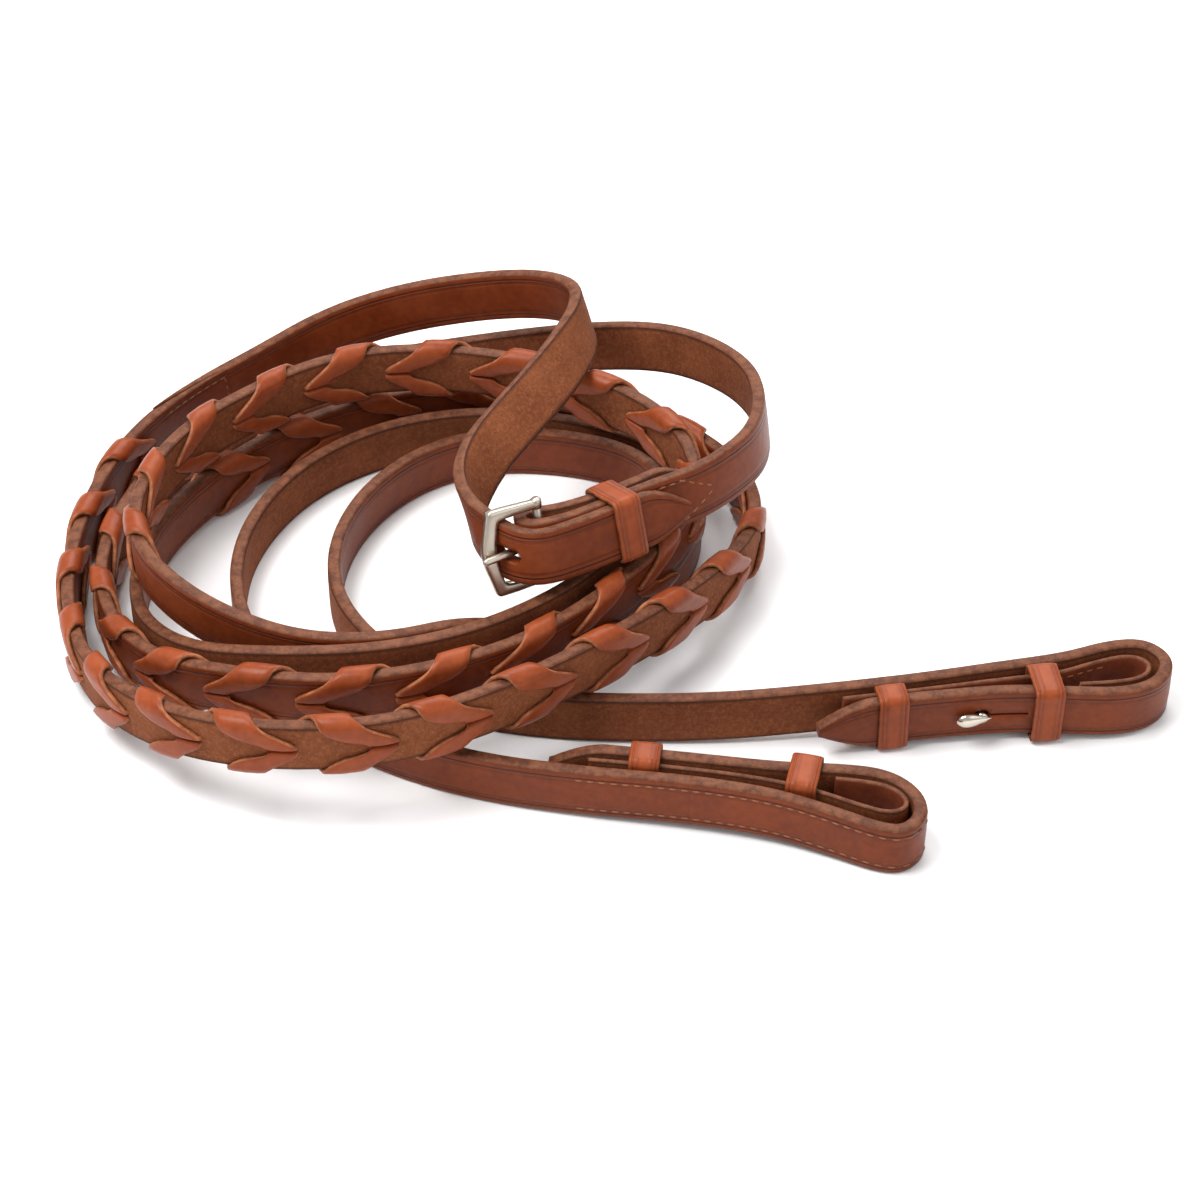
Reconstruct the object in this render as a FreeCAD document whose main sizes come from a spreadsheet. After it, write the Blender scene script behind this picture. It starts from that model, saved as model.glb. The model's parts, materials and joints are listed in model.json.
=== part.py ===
"""English laced reins: two leather straps buckled together and laid in one loose coil.

Millimetres, +Z up. The coil lies on the plane Z = 0 and its origin is the middle of the coil's
footprint. Half A carries the buckle, half B the billet that passes through it. Each half runs
hand strap, laced grip, plain strap and a folded bit end closed by a hook stud.
"""
import FreeCAD, Part
import Sketcher
import math
import os

Vec = FreeCAD.Vector

# ---------------------------------------------------------------- driving dimensions
DIMENSIONS = {
    "strap_width": 16.0,
    "strap_thick": 3.8,
    "strap_gap": 0.15,
    "lace_gap": 0.32,
    "lace_thick": 1.4,
    "lace_half_slit": 4.0,
    "lace_half_edge": 6.0,
    "slit_pitch": 26.5,
    "slit_length": 10.0,
    "slit_height": 3.9,
    "scarf_length": 28.0,
    "feather": 0.5,
    "keeper_thick": 1.3,
    "keeper_width": 8.5,
    "keeper_round": 1.2,
    "keeper_tall": 16.5,
    "buckle_keeper_deep": 14.3,
    "tip_keeper_a_deep": 6.85,
    "loop_keeper_a_deep": 11.1,
    "tip_keeper_b_deep": 5.85,
    "loop_keeper_b_deep": 11.2,
    "liner_width": 15.0,
    "liner_thick": 1.5,
    "thread_thick": 0.5,
    "thread_deep": 0.4,
    "thread_gap": 0.14,
    "stitch_length": 2.3,
    "stitch_pitch": 3.2,
    "frame_reach": 18.0,
    "frame_height": 25.6,
    "frame_thick": 3.0,
    "bar_width": 3.2,
    "arm_width": 3.2,
    "bar_bulge": 2.8,
    "inner_bulge": 1.4,
    "hinge_radius": 1.3,
    "hinge_play": 0.06,
    "metal_round": 0.8,
    "tongue_radius": 1.15,
    "tongue_eye": 2.7,
    "tongue_eye_tall": 3.0,
    "tongue_reach": 21.0,
    "hole_height": 3.6,
    "hole_length": 8.6,
    "chape_slot": 5.0,
    "chape_slot_reach": 11.0,
    "stud_shank": 1.5,
    "stud_flange": 3.0,
    "stud_play": 0.42,
    "stud_flange_thick": 0.8,
    "stud_head_long": 10.0,
    "stud_head_wide": 4.6,
    "stud_head_high": 3.0,
    "washer_radius": 3.0,
    "washer_thick": 0.6,
}

# ---------------------------------------------------------------- strap routes
# Control points of each strap's middle line: x, y, z and the lean of the strap from upright in
# degrees, positive where its top edge leans to the left of the way from the buckle to the bit.
HAND_A = [
    (27.5, 2.8, 44.2, -17), (12.1, -8.6, 44.7, -18), (1.2, -15.3, 44.7, -18), (-8, -19, 44, -18), (-14, -20.4, 43.6, -18),
    (-19.9, -21.6, 43.8, -17), (-22, -25.3, 44.8, -7), (-18.8, -28.9, 45.9, 8), (-13.5, -28.5, 46.1, 17),
    (-5.5, -25, 46, 18), (3.5, -19.5, 46, 18), (14.5, -12.5, 46, 18), (27.5, -5, 45.5, 17), (38, 6, 44.5, 15),
    (45.5, 19, 42.5, 12), (48, 37, 39, 7), (45, 57, 35, 1), (35, 74, 31, -3), (20, 87, 27, -5),
    (0, 95.5, 21, -5), (-23, 100, 15, -4), (-46, 100.5, 11, -2), (-69, 96, 10, 0),
]
LACED_A = [
    (-95, 86, 10, 0), (-116, 67, 10, 0), (-132, 46, 10, 0), (-142, 21, 10, 0), (-145, -5, 10.5, 0),
    (-138, -31, 13, 0), (-122, -54, 20, 0), (-98, -66, 26, 0), (-73, -71, 27.5, 0), (-46, -66, 27.5, 0),
    (-21, -55, 27.5, 0), (-2, -38, 27, 0), (15, -18, 26.6, 0), (27, 3, 26.6, 0), (28, 25, 28, 0),
    (18, 44, 29.5, 0), (0, 58, 30, 0), (-25, 69, 30, 0), (-55, 73, 30.5, 0), (-82, 68, 30.5, 0),
    (-106, 51, 30.5, 0), (-124, 31, 31, 0), (-133, 5, 31, 0), (-131, -17, 31, 0), (-118.5, -33.5, 30, 0),
]
PLAIN_A = [
    (-101, -44.5, 27, 0), (-80, -51.5, 25.3, 0), (-58, -51, 25, 0), (-37.3, -44, 25, 0), (-17.5, -32.2, 8.8, 0),
    (3, -20, 8, 0), (22, 0, 8, 0), (30, 24, 8, 0), (25, 46, 8, 0), (9, 59, 8, 0),
    (-15, 68, 8, 0), (-42, 70, 8, 0), (-69, 62, 8, 0), (-91, 44, 8, 0), (-104, 18, 8, 0),
    (-106, -9, 8, 0), (-98, -33, 8, 0), (-84, -53, 8, 0), (-62, -69, 8, 0), (-35, -80.5, 8, 0),
    (-5, -87, 9, 0),
]
END_A = [
    (22, -91, 10.1, 0), (46, -96, 10.1, 0), (63, -102.5, 9, 0), (74, -107.5, 8.4, 0), (81, -108, 8, 0),
    (86, -102, 8, 0), (84.5, -94, 8.2, 0), (77, -88, 9, 0), (65, -87, 10, 0), (49, -86.5, 10.1, 0),
    (25.5, -83, 10.1, 0), (0, -79.5, 10.1, 0), (-14, -77.5, 9.4, 0),
]
HAND_B = [
    (25, -12.5, 46.8, -18), (16.7, -16.3, 47.2, -18), (5.7, -23.3, 47.2, -18), (-5, -29.6, 47, -18),
    (-16.2, -34.8, 46.6, -18), (-24.2, -32.2, 46, -15), (-30.7, -25.4, 46, -8), (-36, -16.5, 46, 8),
    (-37, -4.5, 46.5, 28), (-33, 10, 47, 42), (-24.5, 25.5, 47.5, 48), (-15.5, 42, 47.5, 48),
    (-8.5, 58, 47.5, 38), (-4.5, 73, 46.5, 22), (-6.5, 87, 44, 6), (-19, 96.5, 40.5, -4),
    (-40, 102, 35, -5), (-64, 106, 27, -5), (-86, 104, 19.5, -4), (-106, 94, 13, -2),
]
LACED_B = [
    (-126, 80, 10, 0), (-141, 59, 10, 0), (-150, 33, 10, 0), (-154, 5, 10, 0), (-152, -22, 11, 0),
    (-143, -48, 14, 0), (-126, -70, 20, 0), (-103, -85, 26, 0), (-77, -89, 27.5, 0), (-51, -85, 27.5, 0),
    (-25, -72, 27.5, 0), (-4, -57, 27, 0), (16, -38, 24, 0), (34, -14, 18, 0), (45, 9, 13, 0),
    (46, 31, 11, 0), (35, 52, 10, 0), (15, 68, 10, 0), (-9, 78, 10, 0), (-37, 81, 10, 0),
    (-67, 76, 10, 0), (-95, 61, 10, 0), (-116, 40, 10, 0),
]
PLAIN_B = [
    (-130, 16, 10, 0), (-134.5, -9, 10, 0), (-129, -31, 13, 0), (-113, -50, 20, 0), (-87, -57.5, 25.5, 0),
    (-60, -56, 25.5, 0), (-35, -49, 26, 0), (-12, -35, 26.5, 0), (4, -16.7, 26.2, 0), (14.4, 3.3, 21, 0),
    (20, 22, 13.5, 0), (19, 38, 9, 0), (9, 52, 8, 0), (-11, 59, 8, 0), (-35, 60, 8, 0),
    (-56, 50, 8, 0), (-71, 31, 8, 0), (-78, 8, 8, 0), (-76, -14, 8, 0), (-64, -34, 8, 0),
    (-44, -50, 8, 0), (-18, -56.5, 8, 0), (9, -58.5, 8.6, 0),
]
END_B = [
    (36, -58.5, 9.4, 0), (64, -55.5, 10.1, 0), (89, -51.5, 10.1, 0), (113, -46.5, 10.1, 0), (130, -42.5, 9.4, 0),
    (144, -36.5, 8.8, 0), (154, -35.5, 8.2, 0), (159.5, -42.5, 8, 0), (155.5, -51.5, 8.4, 0),
    (145.5, -56.5, 9.3, 0), (131, -57, 10.1, 0), (114.5, -56, 10.1, 0), (96.5, -58, 10.1, 0),
    (78.5, -60.5, 10.1, 0), (60, -64, 9.4, 0),
]
LINER_A = [
    (-3, -82.8, 9.5, 0), (22, -86.4, 10.1, 0), (45, -90.8, 10.1, 0), (58, -94.6, 9.6, 0),
    (69, -99.2, 8.8, 0), (77.5, -102, 8.4, 0), (82.4, -99.2, 8.4, 0), (80.6, -94.2, 8.6, 0),
    (74, -90.8, 9, 0), (63, -89.8, 9.4, 0),
]
LINER_B = [
    (67, -59.6, 10.1, 0), (89, -56.1, 10.1, 0), (112, -51.8, 10.1, 0), (127, -49.3, 9.7, 0),
    (138, -44, 9, 0), (148, -40.4, 8.6, 0), (154, -43, 8.4, 0), (152.5, -49, 8.6, 0),
    (144, -52, 9, 0), (133, -53, 9.4, 0),
]

# Places on the routes, as positions of control points
GRIP_START = {"a": 23, "b": 20}
GRIP_END = {"a": 48, "b": 43}
END_START = {"a": 69, "b": 66}
STUD_AT = {"a": 78, "b": 77}
BUCKLE_FOLD = 6

# The buckle: where its hinge bar is, the way up that bar and the way to the front bar
HINGE_AT = (-16.5, -24.9, 44.9)
HINGE_UP = (-0.111, 0.287, 0.951)
HINGE_REACH = (-0.887, -0.459, 0.035)
TONGUE_LEAN = 11.5
TONGUE_AT = (-24.4, -31.2, 46)
BUCKLE_KEEPER_AT = (5, -18.5, 46)
KEEPER_SHIFT = 0.52

# Bit-end keepers: way past the stud, shift towards the lining and turn about the strap's height
END_KEEPERS = {
    "tip_keeper_a": (25.0, 1.38, 0),
    "loop_keeper_a": (-18.3, 2.69, -10),
    "tip_keeper_b": (25.0, 0.89, 0),
    "loop_keeper_b": (-18.3, 2.75, 10),
}


# ---------------------------------------------------------------- document and sheet
def make_sheet(doc):
    """The spreadsheet that holds the driving dimensions, one alias each."""
    sheet = doc.addObject("Spreadsheet::Sheet", "dimensions")
    for row, (name, value) in enumerate(DIMENSIONS.items(), start=1):
        sheet.set(f"A{row}", name)
        sheet.set(f"B{row}", str(value))
        sheet.setAlias(f"B{row}", name)
    doc.recompute()
    return sheet


def bind(obj, **sizes):
    """Bind properties of an object to formulas over the sheet's aliases."""
    for prop, formula in sizes.items():
        obj.setExpression(prop, formula)


# ---------------------------------------------------------------- strap routes as curves
class Route:
    """A strap's middle line: the clamped quadratic B-spline of its control points."""

    SPAN_STEPS = 16

    def __init__(self, controls):
        self.controls = [tuple(float(v) for v in point) for point in controls]
        self.samples = self._sample()
        self.reach = [0.0]
        for before, after in zip(self.samples, self.samples[1:]):
            self.reach.append(self.reach[-1] + math.dist(before[:3], after[:3]))
        self.length = self.reach[-1]

    def _sample(self):
        pts = self.controls
        last = len(pts) - 3
        found = []
        for i in range(len(pts) - 2):
            start = pts[i] if i == 0 else middle(pts[i], pts[i + 1])
            end = pts[i + 2] if i == last else middle(pts[i + 1], pts[i + 2])
            for step in range(self.SPAN_STEPS):
                found.append(quadratic(start, pts[i + 1], end, step / self.SPAN_STEPS))
        found.append(pts[-1])
        return found

    def knot(self, index):
        """Distance along the route to the middle of control points index and index + 1."""
        return self.reach[index * self.SPAN_STEPS]

    def frame(self, along):
        """Point, forward, up and left vectors at a distance along the route."""
        along = min(max(along, 0.0), self.length)
        low, high = 0, len(self.reach) - 2
        while low < high:
            mid = (low + high + 1) // 2
            if self.reach[mid] <= along:
                low = mid
            else:
                high = mid - 1
        part = (along - self.reach[low]) / (self.reach[low + 1] - self.reach[low])
        here = blend(self.samples[low], self.samples[low + 1], part)
        forward = blend(self._heading(low), self._heading(low + 1), part)
        forward = Vec(*forward).normalize()
        left = Vec(0, 0, 1).cross(forward).normalize()
        up = forward.cross(left)
        lean = math.radians(here[3])
        leaned_up = up * math.cos(lean) + left * math.sin(lean)
        leaned_left = left * math.cos(lean) - up * math.sin(lean)
        return Vec(*here[:3]), forward, leaned_up, leaned_left

    def _heading(self, index):
        before = self.samples[max(index - 1, 0)]
        after = self.samples[min(index + 1, len(self.samples) - 1)]
        return tuple(b - a for a, b in zip(before[:3], after[:3]))

    def nearest(self, target, start=0.0, end=1e9):
        """Distance along the route, between start and end, of the sample nearest to a point."""
        near = [(math.dist(sample[:3], tuple(target)), along)
                for sample, along in zip(self.samples, self.reach) if start <= along <= end]
        return min(near)[1]

    def point(self, along, height, aside):
        """A point off the middle line: height up the strap and aside to its left."""
        here, _, up, left = self.frame(along)
        return here + up * height + left * aside

    def placement(self, along, height=0.0, aside=0.0):
        """Placement with X forward, Y to the left and Z up the strap."""
        here, forward, up, left = self.frame(along)
        turn = FreeCAD.Rotation(forward, left, up, "ZXY")
        return FreeCAD.Placement(here + up * height + left * aside, turn)

    def stations(self, start, end, extra=()):
        """Distances between start and end, closer together where the route turns."""
        longest, sharpest = 6.0, math.radians(9)
        marks = sorted({start, end, *[mark for mark in extra if start < mark < end]})
        found = [start]
        for mark in marks[1:]:
            before = found[-1]
            turned = 0.0
            heading = self.frame(before)[1]
            here = before
            while here < mark:
                here = min(here + 0.5, mark)
                now = self.frame(here)[1]
                turned += heading.getAngle(now)
                heading = now
                if here < mark - 1.0 and (here - before > longest or turned > sharpest):
                    found.append(here)
                    before, turned = here, 0.0
            found.append(mark)
        return found


def blend(start, end, part):
    return tuple(a + (b - a) * part for a, b in zip(start, end))


def middle(start, end):
    return blend(start, end, 0.5)


def quadratic(start, control, end, part):
    return blend(blend(start, control, part), blend(control, end, part), part)


# ---------------------------------------------------------------- closed solids from rows of cells
def quad_faces(a, b, c, d):
    return [(a, b, c), (a, c, d)]


def cell_solid(rows, is_solid):
    """A closed flat-faced solid from rows of points.

    rows[i][j] is a (near, far) pair of points. Cell (i, j) fills the space between rows i and
    i + 1 and columns j and j + 1 where is_solid(i, j) says so. Faces are made only between a
    filled cell and an empty one, so slots come out as real openings.
    """
    columns = len(rows[0])
    points = [point for row in rows for pair in row for point in pair]
    lengths, widths = len(rows) - 1, columns - 1

    def index(i, j, k):
        return (i * columns + j) * 2 + k

    def filled(i, j):
        return 0 <= i < lengths and 0 <= j < widths and is_solid(i, j)

    faces = []
    for i in range(lengths):
        for j in range(widths):
            if not filled(i, j):
                continue
            near = [index(i, j, 0), index(i + 1, j, 0), index(i + 1, j + 1, 0), index(i, j + 1, 0)]
            far = [corner + 1 for corner in near]
            faces += quad_faces(*near)
            faces += quad_faces(*reversed(far))
            for side, neighbour in enumerate([(i, j - 1), (i + 1, j), (i, j + 1), (i - 1, j)]):
                if not filled(*neighbour):
                    a, b = side, (side + 1) % 4
                    faces += quad_faces(near[b], near[a], far[a], far[b])
    used = sorted({corner for face in faces for corner in face})
    renumber = {old: new for new, old in enumerate(used)}
    topology = ([points[old] for old in used], [tuple(renumber[c] for c in face) for face in faces])
    shell = Part.Shape()
    shell.makeShapeFromMesh(topology, 0.001, True)
    solid = Part.makeSolid(shell)
    if solid.Volume < 0:
        solid.reverse()
    return solid


def add_shape(doc, name, shape):
    """A sub-part whose shape follows a route that no sketch can hold."""
    feature = doc.addObject("Part::Feature", name)
    feature.Label = name
    feature.Shape = shape
    feature.Placement = FreeCAD.Placement()
    return feature


# ---------------------------------------------------------------- leather
def strap_solid(route, start, end, half_width=None, slots=(), near=None, far=None, extra=()):
    """A strap along a route. slots are (start, end, half height) of openings through it."""
    half_thick = DIMENSIONS["strap_thick"] / 2
    half_width = half_width or (lambda along: DIMENSIONS["strap_width"] / 2)
    near = near or (lambda along: -half_thick)
    far = far or (lambda along: half_thick)
    marks = [edge for slot in slots for edge in slot[:2]]
    stations = route.stations(start, end, [*marks, *extra])
    inner = sorted({slot[2] for slot in slots})
    shares = [-height for height in reversed(inner)] + inner

    def row(along):
        edge = half_width(along)
        heights = [-edge, *[share * edge / half_width_full() for share in shares], edge]
        low, high = near(along), far(along)
        return [(route.point(along, h, low), route.point(along, h, high)) for h in heights]

    def is_solid(i, j):
        if not shares or j in (0, len(shares)):
            return True
        here = (stations[i] + stations[i + 1]) / 2
        height = abs(shares[j - 1] + shares[j]) / 2
        return not any(low < here < high and height < half for low, high, half in slots)

    return cell_solid([row(along) for along in stations], is_solid)


def half_width_full():
    return DIMENSIONS["strap_width"] / 2


def pointed(end, length, tip):
    """Half width of a strap that narrows in a round point at distance end along its route."""
    full = half_width_full()

    def half_width(along):
        part = min(abs(end - along) / length, 1.0)
        return tip + (full - tip) * math.sin(part * math.pi / 2) ** 0.8

    return half_width


def scarf(start, side, upper):
    """Lower or upper face of a strap where it is skived to a feather edge over a lap."""
    half = DIMENSIONS["strap_thick"] / 2
    feather, gap = DIMENSIONS["feather"], DIMENSIONS["strap_gap"]
    length = DIMENSIONS["scarf_length"]

    def face(along):
        part = min(max((along - start) / length, 0.0), 1.0)
        middle_line = side * (half - feather - part * (2 * half - 2 * feather))
        if upper and along > start + length:
            return -side * half
        if not upper and along < start:
            return side * half
        return middle_line + (gap / 2 if upper else -gap / 2) * side

    return face


class Half:
    """One rein: its route and the places along it."""

    def __init__(self, letter, controls, liner, grain):
        self.letter = letter
        self.route = Route(controls)
        self.liner = Route(liner)
        self.grain = grain
        self.outward = -1 if letter == "a" else 1
        self.lap = self.route.knot(GRIP_START[letter] - 1)
        self.lap_end = self.lap + DIMENSIONS["scarf_length"]
        self.grip_end = self.route.knot(GRIP_END[letter] - 1)
        self.hinge = self.route.knot(END_START[letter] - 1)
        self.stud = self.route.knot(STUD_AT[letter])
        pitch = DIMENSIONS["slit_pitch"]
        first = self.lap_end + pitch * 0.35
        count = int((self.grip_end - first) / pitch) + 1
        self.slits = [first + pitch * index for index in range(count)]

    def name(self, piece):
        return f"{piece}_{self.letter}"


def make_hand_strap(doc, half, slots, point_length, tip):
    """The plain strap from the buckle to the skived splice with the laced grip."""
    near = scarf(half.lap, half.grain, False)
    other = -half.grain * DIMENSIONS["strap_thick"] / 2
    low, high = (lambda along: other, near) if half.grain > 0 else (near, lambda along: other)
    shape = strap_solid(half.route, 0.0, half.lap_end, pointed(0.0, point_length, tip), slots,
                        low, high, [half.lap - 0.3, half.lap, 3, 6, 9])
    return add_shape(doc, half.name("hand_strap"), shape)


def make_main_strap(doc, half):
    """The laced grip, slit for its laces, and the plain strap on to the bit end."""
    side = half.grain * DIMENSIONS["strap_thick"] / 2
    skived = scarf(half.lap, half.grain, True)
    low, high = (skived, lambda along: side) if half.grain > 0 else (lambda along: side, skived)
    reach, height = DIMENSIONS["slit_length"] / 2, DIMENSIONS["slit_height"] / 2
    slots = [(slit - reach, slit + reach, height) for slit in half.slits]
    end = half.hinge - DIMENSIONS["strap_thick"] / 2 - DIMENSIONS["strap_gap"]
    shape = strap_solid(half.route, half.lap, end, None, slots, low, high,
                        [half.lap_end, half.lap_end + 0.3])
    return add_shape(doc, half.name("main_strap"), shape)


def make_end_strap(doc, half):
    """The folded bit end: round hinge nose, bit loop, stud hole with its slit, pointed tip."""
    radius = DIMENSIONS["strap_thick"] / 2
    turns = [math.radians(angle) for angle in (75, 60, 45, 30, 15, 0)]
    nose = [half.hinge - radius * math.sin(turn) for turn in turns]

    def half_thick(along):
        return math.sqrt(max(radius ** 2 - max(half.hinge - along, 0.0) ** 2, 0.0))

    hole = (half.stud - 2.3, half.stud + 2.3, 2.0)
    slit = (half.stud - 13.0, half.stud - 2.3, 0.4)
    end = half.route.length
    shape = strap_solid(half.route, nose[0], end, pointed(end, 15.0, 1.5), [hole, slit],
                        lambda along: -half_thick(along), half_thick,
                        [*nose[1:], end - 12, end - 9, end - 6, end - 3, end - 1])
    return add_shape(doc, half.name("end_strap"), shape)


def lace_turn():
    """One turn of a lace round the web between the slits and the edge.

    Rows of (share of the pitch, inner height and aside, outer height and aside, half length).
    """
    size = DIMENSIONS
    thick, edge = size["lace_thick"], half_width_full() + size["lace_gap"]
    face = size["strap_thick"] / 2 + size["lace_gap"]
    at_slit, at_edge = size["lace_half_slit"], size["lace_half_edge"]
    slant = thick * 0.7
    low = size["slit_height"] / 2 - 0.3
    out = [
        (0.015, (low, face), (low - slant, face + slant), at_slit),
        (0.07, (low + 0.6, face), (low + 0.3, face + thick), at_slit),
        (0.24, (4.1, face), (4.1, face + thick), 5.0),
        (0.42, (6.7, face), (6.7, face + thick), at_edge),
        (0.475, (edge, face), (edge + slant, face + slant), at_edge),
        (0.49, (edge, face - 1.0), (edge + thick, face - 1.0), at_edge),
    ]
    back = [(1 - share, (inner[0], -inner[1]), (outer[0], -outer[1]), reach)
            for share, inner, outer, reach in reversed(out)]
    return [(0.0, (low, 0.0), (low - thick, 0.0), at_slit), *out, *back]


def make_lace(doc, half, name, side):
    """One lace: through each slit to the grain side, round its edge, back on the flesh side."""
    pitch = DIMENSIONS["slit_pitch"]
    rows = []

    def add_row(along, inner, outer, reach):
        row = []
        for share in (-1, -0.35, 0.35, 1):
            place = along + share * reach
            row.append(tuple(half.route.point(place, side * height, half.grain * aside)
                             for height, aside in (inner, outer)))
        rows.append(row)

    turn = lace_turn()
    for slit in half.slits[:-1]:
        for share, inner, outer, reach in turn:
            add_row(slit + share * pitch, inner, outer, reach)
    add_row(half.slits[-1], *turn[0][1:])
    return add_shape(doc, half.name(name), cell_solid(rows, lambda i, j: True))


def stud_in_liner(half):
    """Where the stud's axis meets the lining: distance along the lining, depth behind the billet."""
    here, forward, _, left = half.route.frame(half.stud)
    near = half.liner.nearest(here)
    places = [near + step * 0.1 for step in range(-40, 41)]
    along = min(places, key=lambda place: abs((half.liner.point(place, 0, 0) - here).dot(forward)))
    return along, abs((half.liner.point(along, 0, 0) - here).dot(left))


def make_liner(doc, half):
    """The thin lining that is sewn in the bit end and closes into its own loop."""
    deep, tall = DIMENSIONS["liner_thick"] / 2, DIMENSIONS["liner_width"] / 2
    stud = stud_in_liner(half)[0]
    hole = (stud - 1.8, stud + 1.8, 1.8)
    shape = strap_solid(half.liner, 0.0, half.liner.length, lambda along: tall, [hole],
                        lambda along: -deep, lambda along: deep)
    return add_shape(doc, half.name("end_liner"), shape)


def stitch(route, along, height, aside, across=False):
    """One stitch: a short straight length of thread lying on a face of the strap."""
    long, tall, deep = DIMENSIONS["stitch_length"], DIMENSIONS["thread_thick"], DIMENSIONS["thread_deep"]
    if across:
        long, tall = tall, long
    block = Part.makeBox(long, deep, tall, Vec(-long / 2, -deep / 2, -tall / 2))
    lift = math.copysign(deep / 2 + DIMENSIONS["thread_gap"], aside)
    block.Placement = route.placement(along, height, aside + lift)
    return block


def stitch_row(route, start, end, height, aside, slope=0.0):
    """A row of stitches on a face of a strap."""
    length, pitch = DIMENSIONS["stitch_length"], DIMENSIONS["stitch_pitch"]
    count = int((end - start - length) / pitch) + 1
    places = [start + length / 2 + index * pitch for index in range(count)]
    return [stitch(route, place, height + slope * (place - start), aside) for place in places]


def cross_row(route, along, low, high, aside):
    """A row of stitches across a strap."""
    length, pitch = DIMENSIONS["stitch_length"], DIMENSIONS["stitch_pitch"]
    count = int((high - low - length) / pitch) + 1
    return [stitch(route, along, low + length / 2 + index * pitch, aside, True) for index in range(count)]


def make_splice_stitches(doc, half):
    """Two rows along the splice and one across the end of the upper strap, on both faces."""
    face = DIMENSIONS["strap_thick"] / 2
    seam = half_width_full() - 2.0
    stitches = []
    for side in (face, -face):
        for height in (seam, -seam):
            stitches += stitch_row(half.route, half.lap + 1.5, half.lap_end - 1.0, height, side)
    stitches += cross_row(half.route, half.lap + 1.0, -4.5, 4.5, half.grain * face)
    return add_shape(doc, half.name("splice_stitches"), Part.makeCompound(stitches))


def make_end_stitches(doc, half):
    """Rows that hold the lining to the bit end: on the strap's outer face and in the lining."""
    face = DIMENSIONS["strap_thick"] / 2
    seam = half_width_full() - 2.2
    start = half.route.nearest(half.liner.point(0.0, 0, 0), half.hinge, half.stud - 50.0)
    keeper = half.route.point(half.stud + END_KEEPERS[half.name("loop_keeper")][0], 0, 0)
    inner = half.liner.nearest(keeper) + DIMENSIONS["keeper_width"] / 2 + 1.5
    stitches = []
    for height in (seam, -seam):
        stitches += stitch_row(half.route, start, start + 84.0, height, half.outward * face)
        stitches += stitch_row(half.liner, inner, inner + 12.0, height,
                               -half.outward * DIMENSIONS["liner_thick"] / 2)
    return add_shape(doc, half.name("end_stitches"), Part.makeCompound(stitches))


def make_buckle_stitches(doc, half):
    """The pointed seam that closes the turned-back strap round the buckle's hinge bar."""
    face = -DIMENSIONS["strap_thick"] / 2
    point = half.route.nearest(half.route.point(1.0, 0, 0), half.route.knot(BUCKLE_FOLD + 1))
    seam = half_width_full() - 2.0
    start, bend = point - 26.0, point - 10.0
    stitches = []
    for side in (1, -1):
        stitches += stitch_row(half.route, start, bend, side * seam, face)
        stitches += stitch_row(half.route, bend, point - 0.5, side * seam, face, -side * (seam - 0.8) / 9.5)
    return add_shape(doc, "buckle_stitches", Part.makeCompound(stitches))


# ---------------------------------------------------------------- keepers
def centred_rectangle(sketch, wide, tall):
    """A rectangle about the sketch's origin with its two sizes bound to formulas."""
    x, y = 4.0, 6.0
    corners = [(-x, -y), (x, -y), (x, y), (-x, y)]
    first = sketch.GeometryCount
    for here, there in zip(corners, corners[1:] + corners[:1]):
        sketch.addGeometry(Part.LineSegment(Vec(*here, 0), Vec(*there, 0)), False)
    for step in range(4):
        sketch.addConstraint(Sketcher.Constraint("Coincident", first + step, 2, first + (step + 1) % 4, 1))
        kind = "Horizontal" if step % 2 == 0 else "Vertical"
        sketch.addConstraint(Sketcher.Constraint(kind, first + step))
    sketch.addConstraint(Sketcher.Constraint("Symmetric", first, 1, first + 2, 1, -1, 1))
    across = sketch.addConstraint(Sketcher.Constraint("DistanceX", first, 1, first, 2, 2 * x))
    up = sketch.addConstraint(Sketcher.Constraint("DistanceY", first + 1, 1, first + 1, 2, 2 * y))
    sketch.setExpression(f"Constraints[{across}]", wide)
    sketch.setExpression(f"Constraints[{up}]", tall)


def body_sketch(doc, body, plane, name):
    """A sketch on one of a body's own origin planes."""
    sketch = body.newObject("Sketcher::SketchObject", name)
    origin_plane = next(item for item in body.Origin.OriginFeatures if item.Role == plane)
    sketch.AttachmentSupport = [(origin_plane, "")]
    sketch.MapMode = "FlatFace"
    doc.recompute()
    return sketch


def make_keeper(doc, name, deep, placement):
    """A leather loop round the straps: X along the strap, Y through it, Z up it."""
    body = doc.addObject("PartDesign::Body", name)
    body.Label = name
    sketch = body_sketch(doc, body, "YZ_Plane", name + "_outline")
    wall = "2 * dimensions.keeper_thick"
    centred_rectangle(sketch, f"dimensions.{deep}", "dimensions.keeper_tall")
    centred_rectangle(sketch, f"dimensions.{deep} + {wall}", f"dimensions.keeper_tall + {wall}")
    pad = body.newObject("PartDesign::Pad", name + "_pad")
    pad.Profile = sketch
    pad.Midplane = True
    bind(pad, Length="dimensions.keeper_width")
    doc.recompute()
    outer = outer_edges(pad.Shape)
    fillet = body.newObject("PartDesign::Fillet", name + "_round")
    fillet.Base = (pad, outer)
    bind(fillet, Radius="dimensions.keeper_round")
    body.Tip = fillet
    body.Placement = placement
    return body


def outer_edges(shape):
    """Names of the four long edges on the outside of a keeper."""
    box = shape.BoundBox
    names = []
    for number, edge in enumerate(shape.Edges, start=1):
        ends = [vertex.Point for vertex in edge.Vertexes]
        is_long = abs(ends[0].x - ends[1].x) > box.XLength * 0.9
        is_outer = abs(abs(ends[0].y) - box.YMax) < 0.01 and abs(abs(ends[0].z) - box.ZMax) < 0.01
        if is_long and is_outer:
            names.append(f"Edge{number}")
    return names


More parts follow.
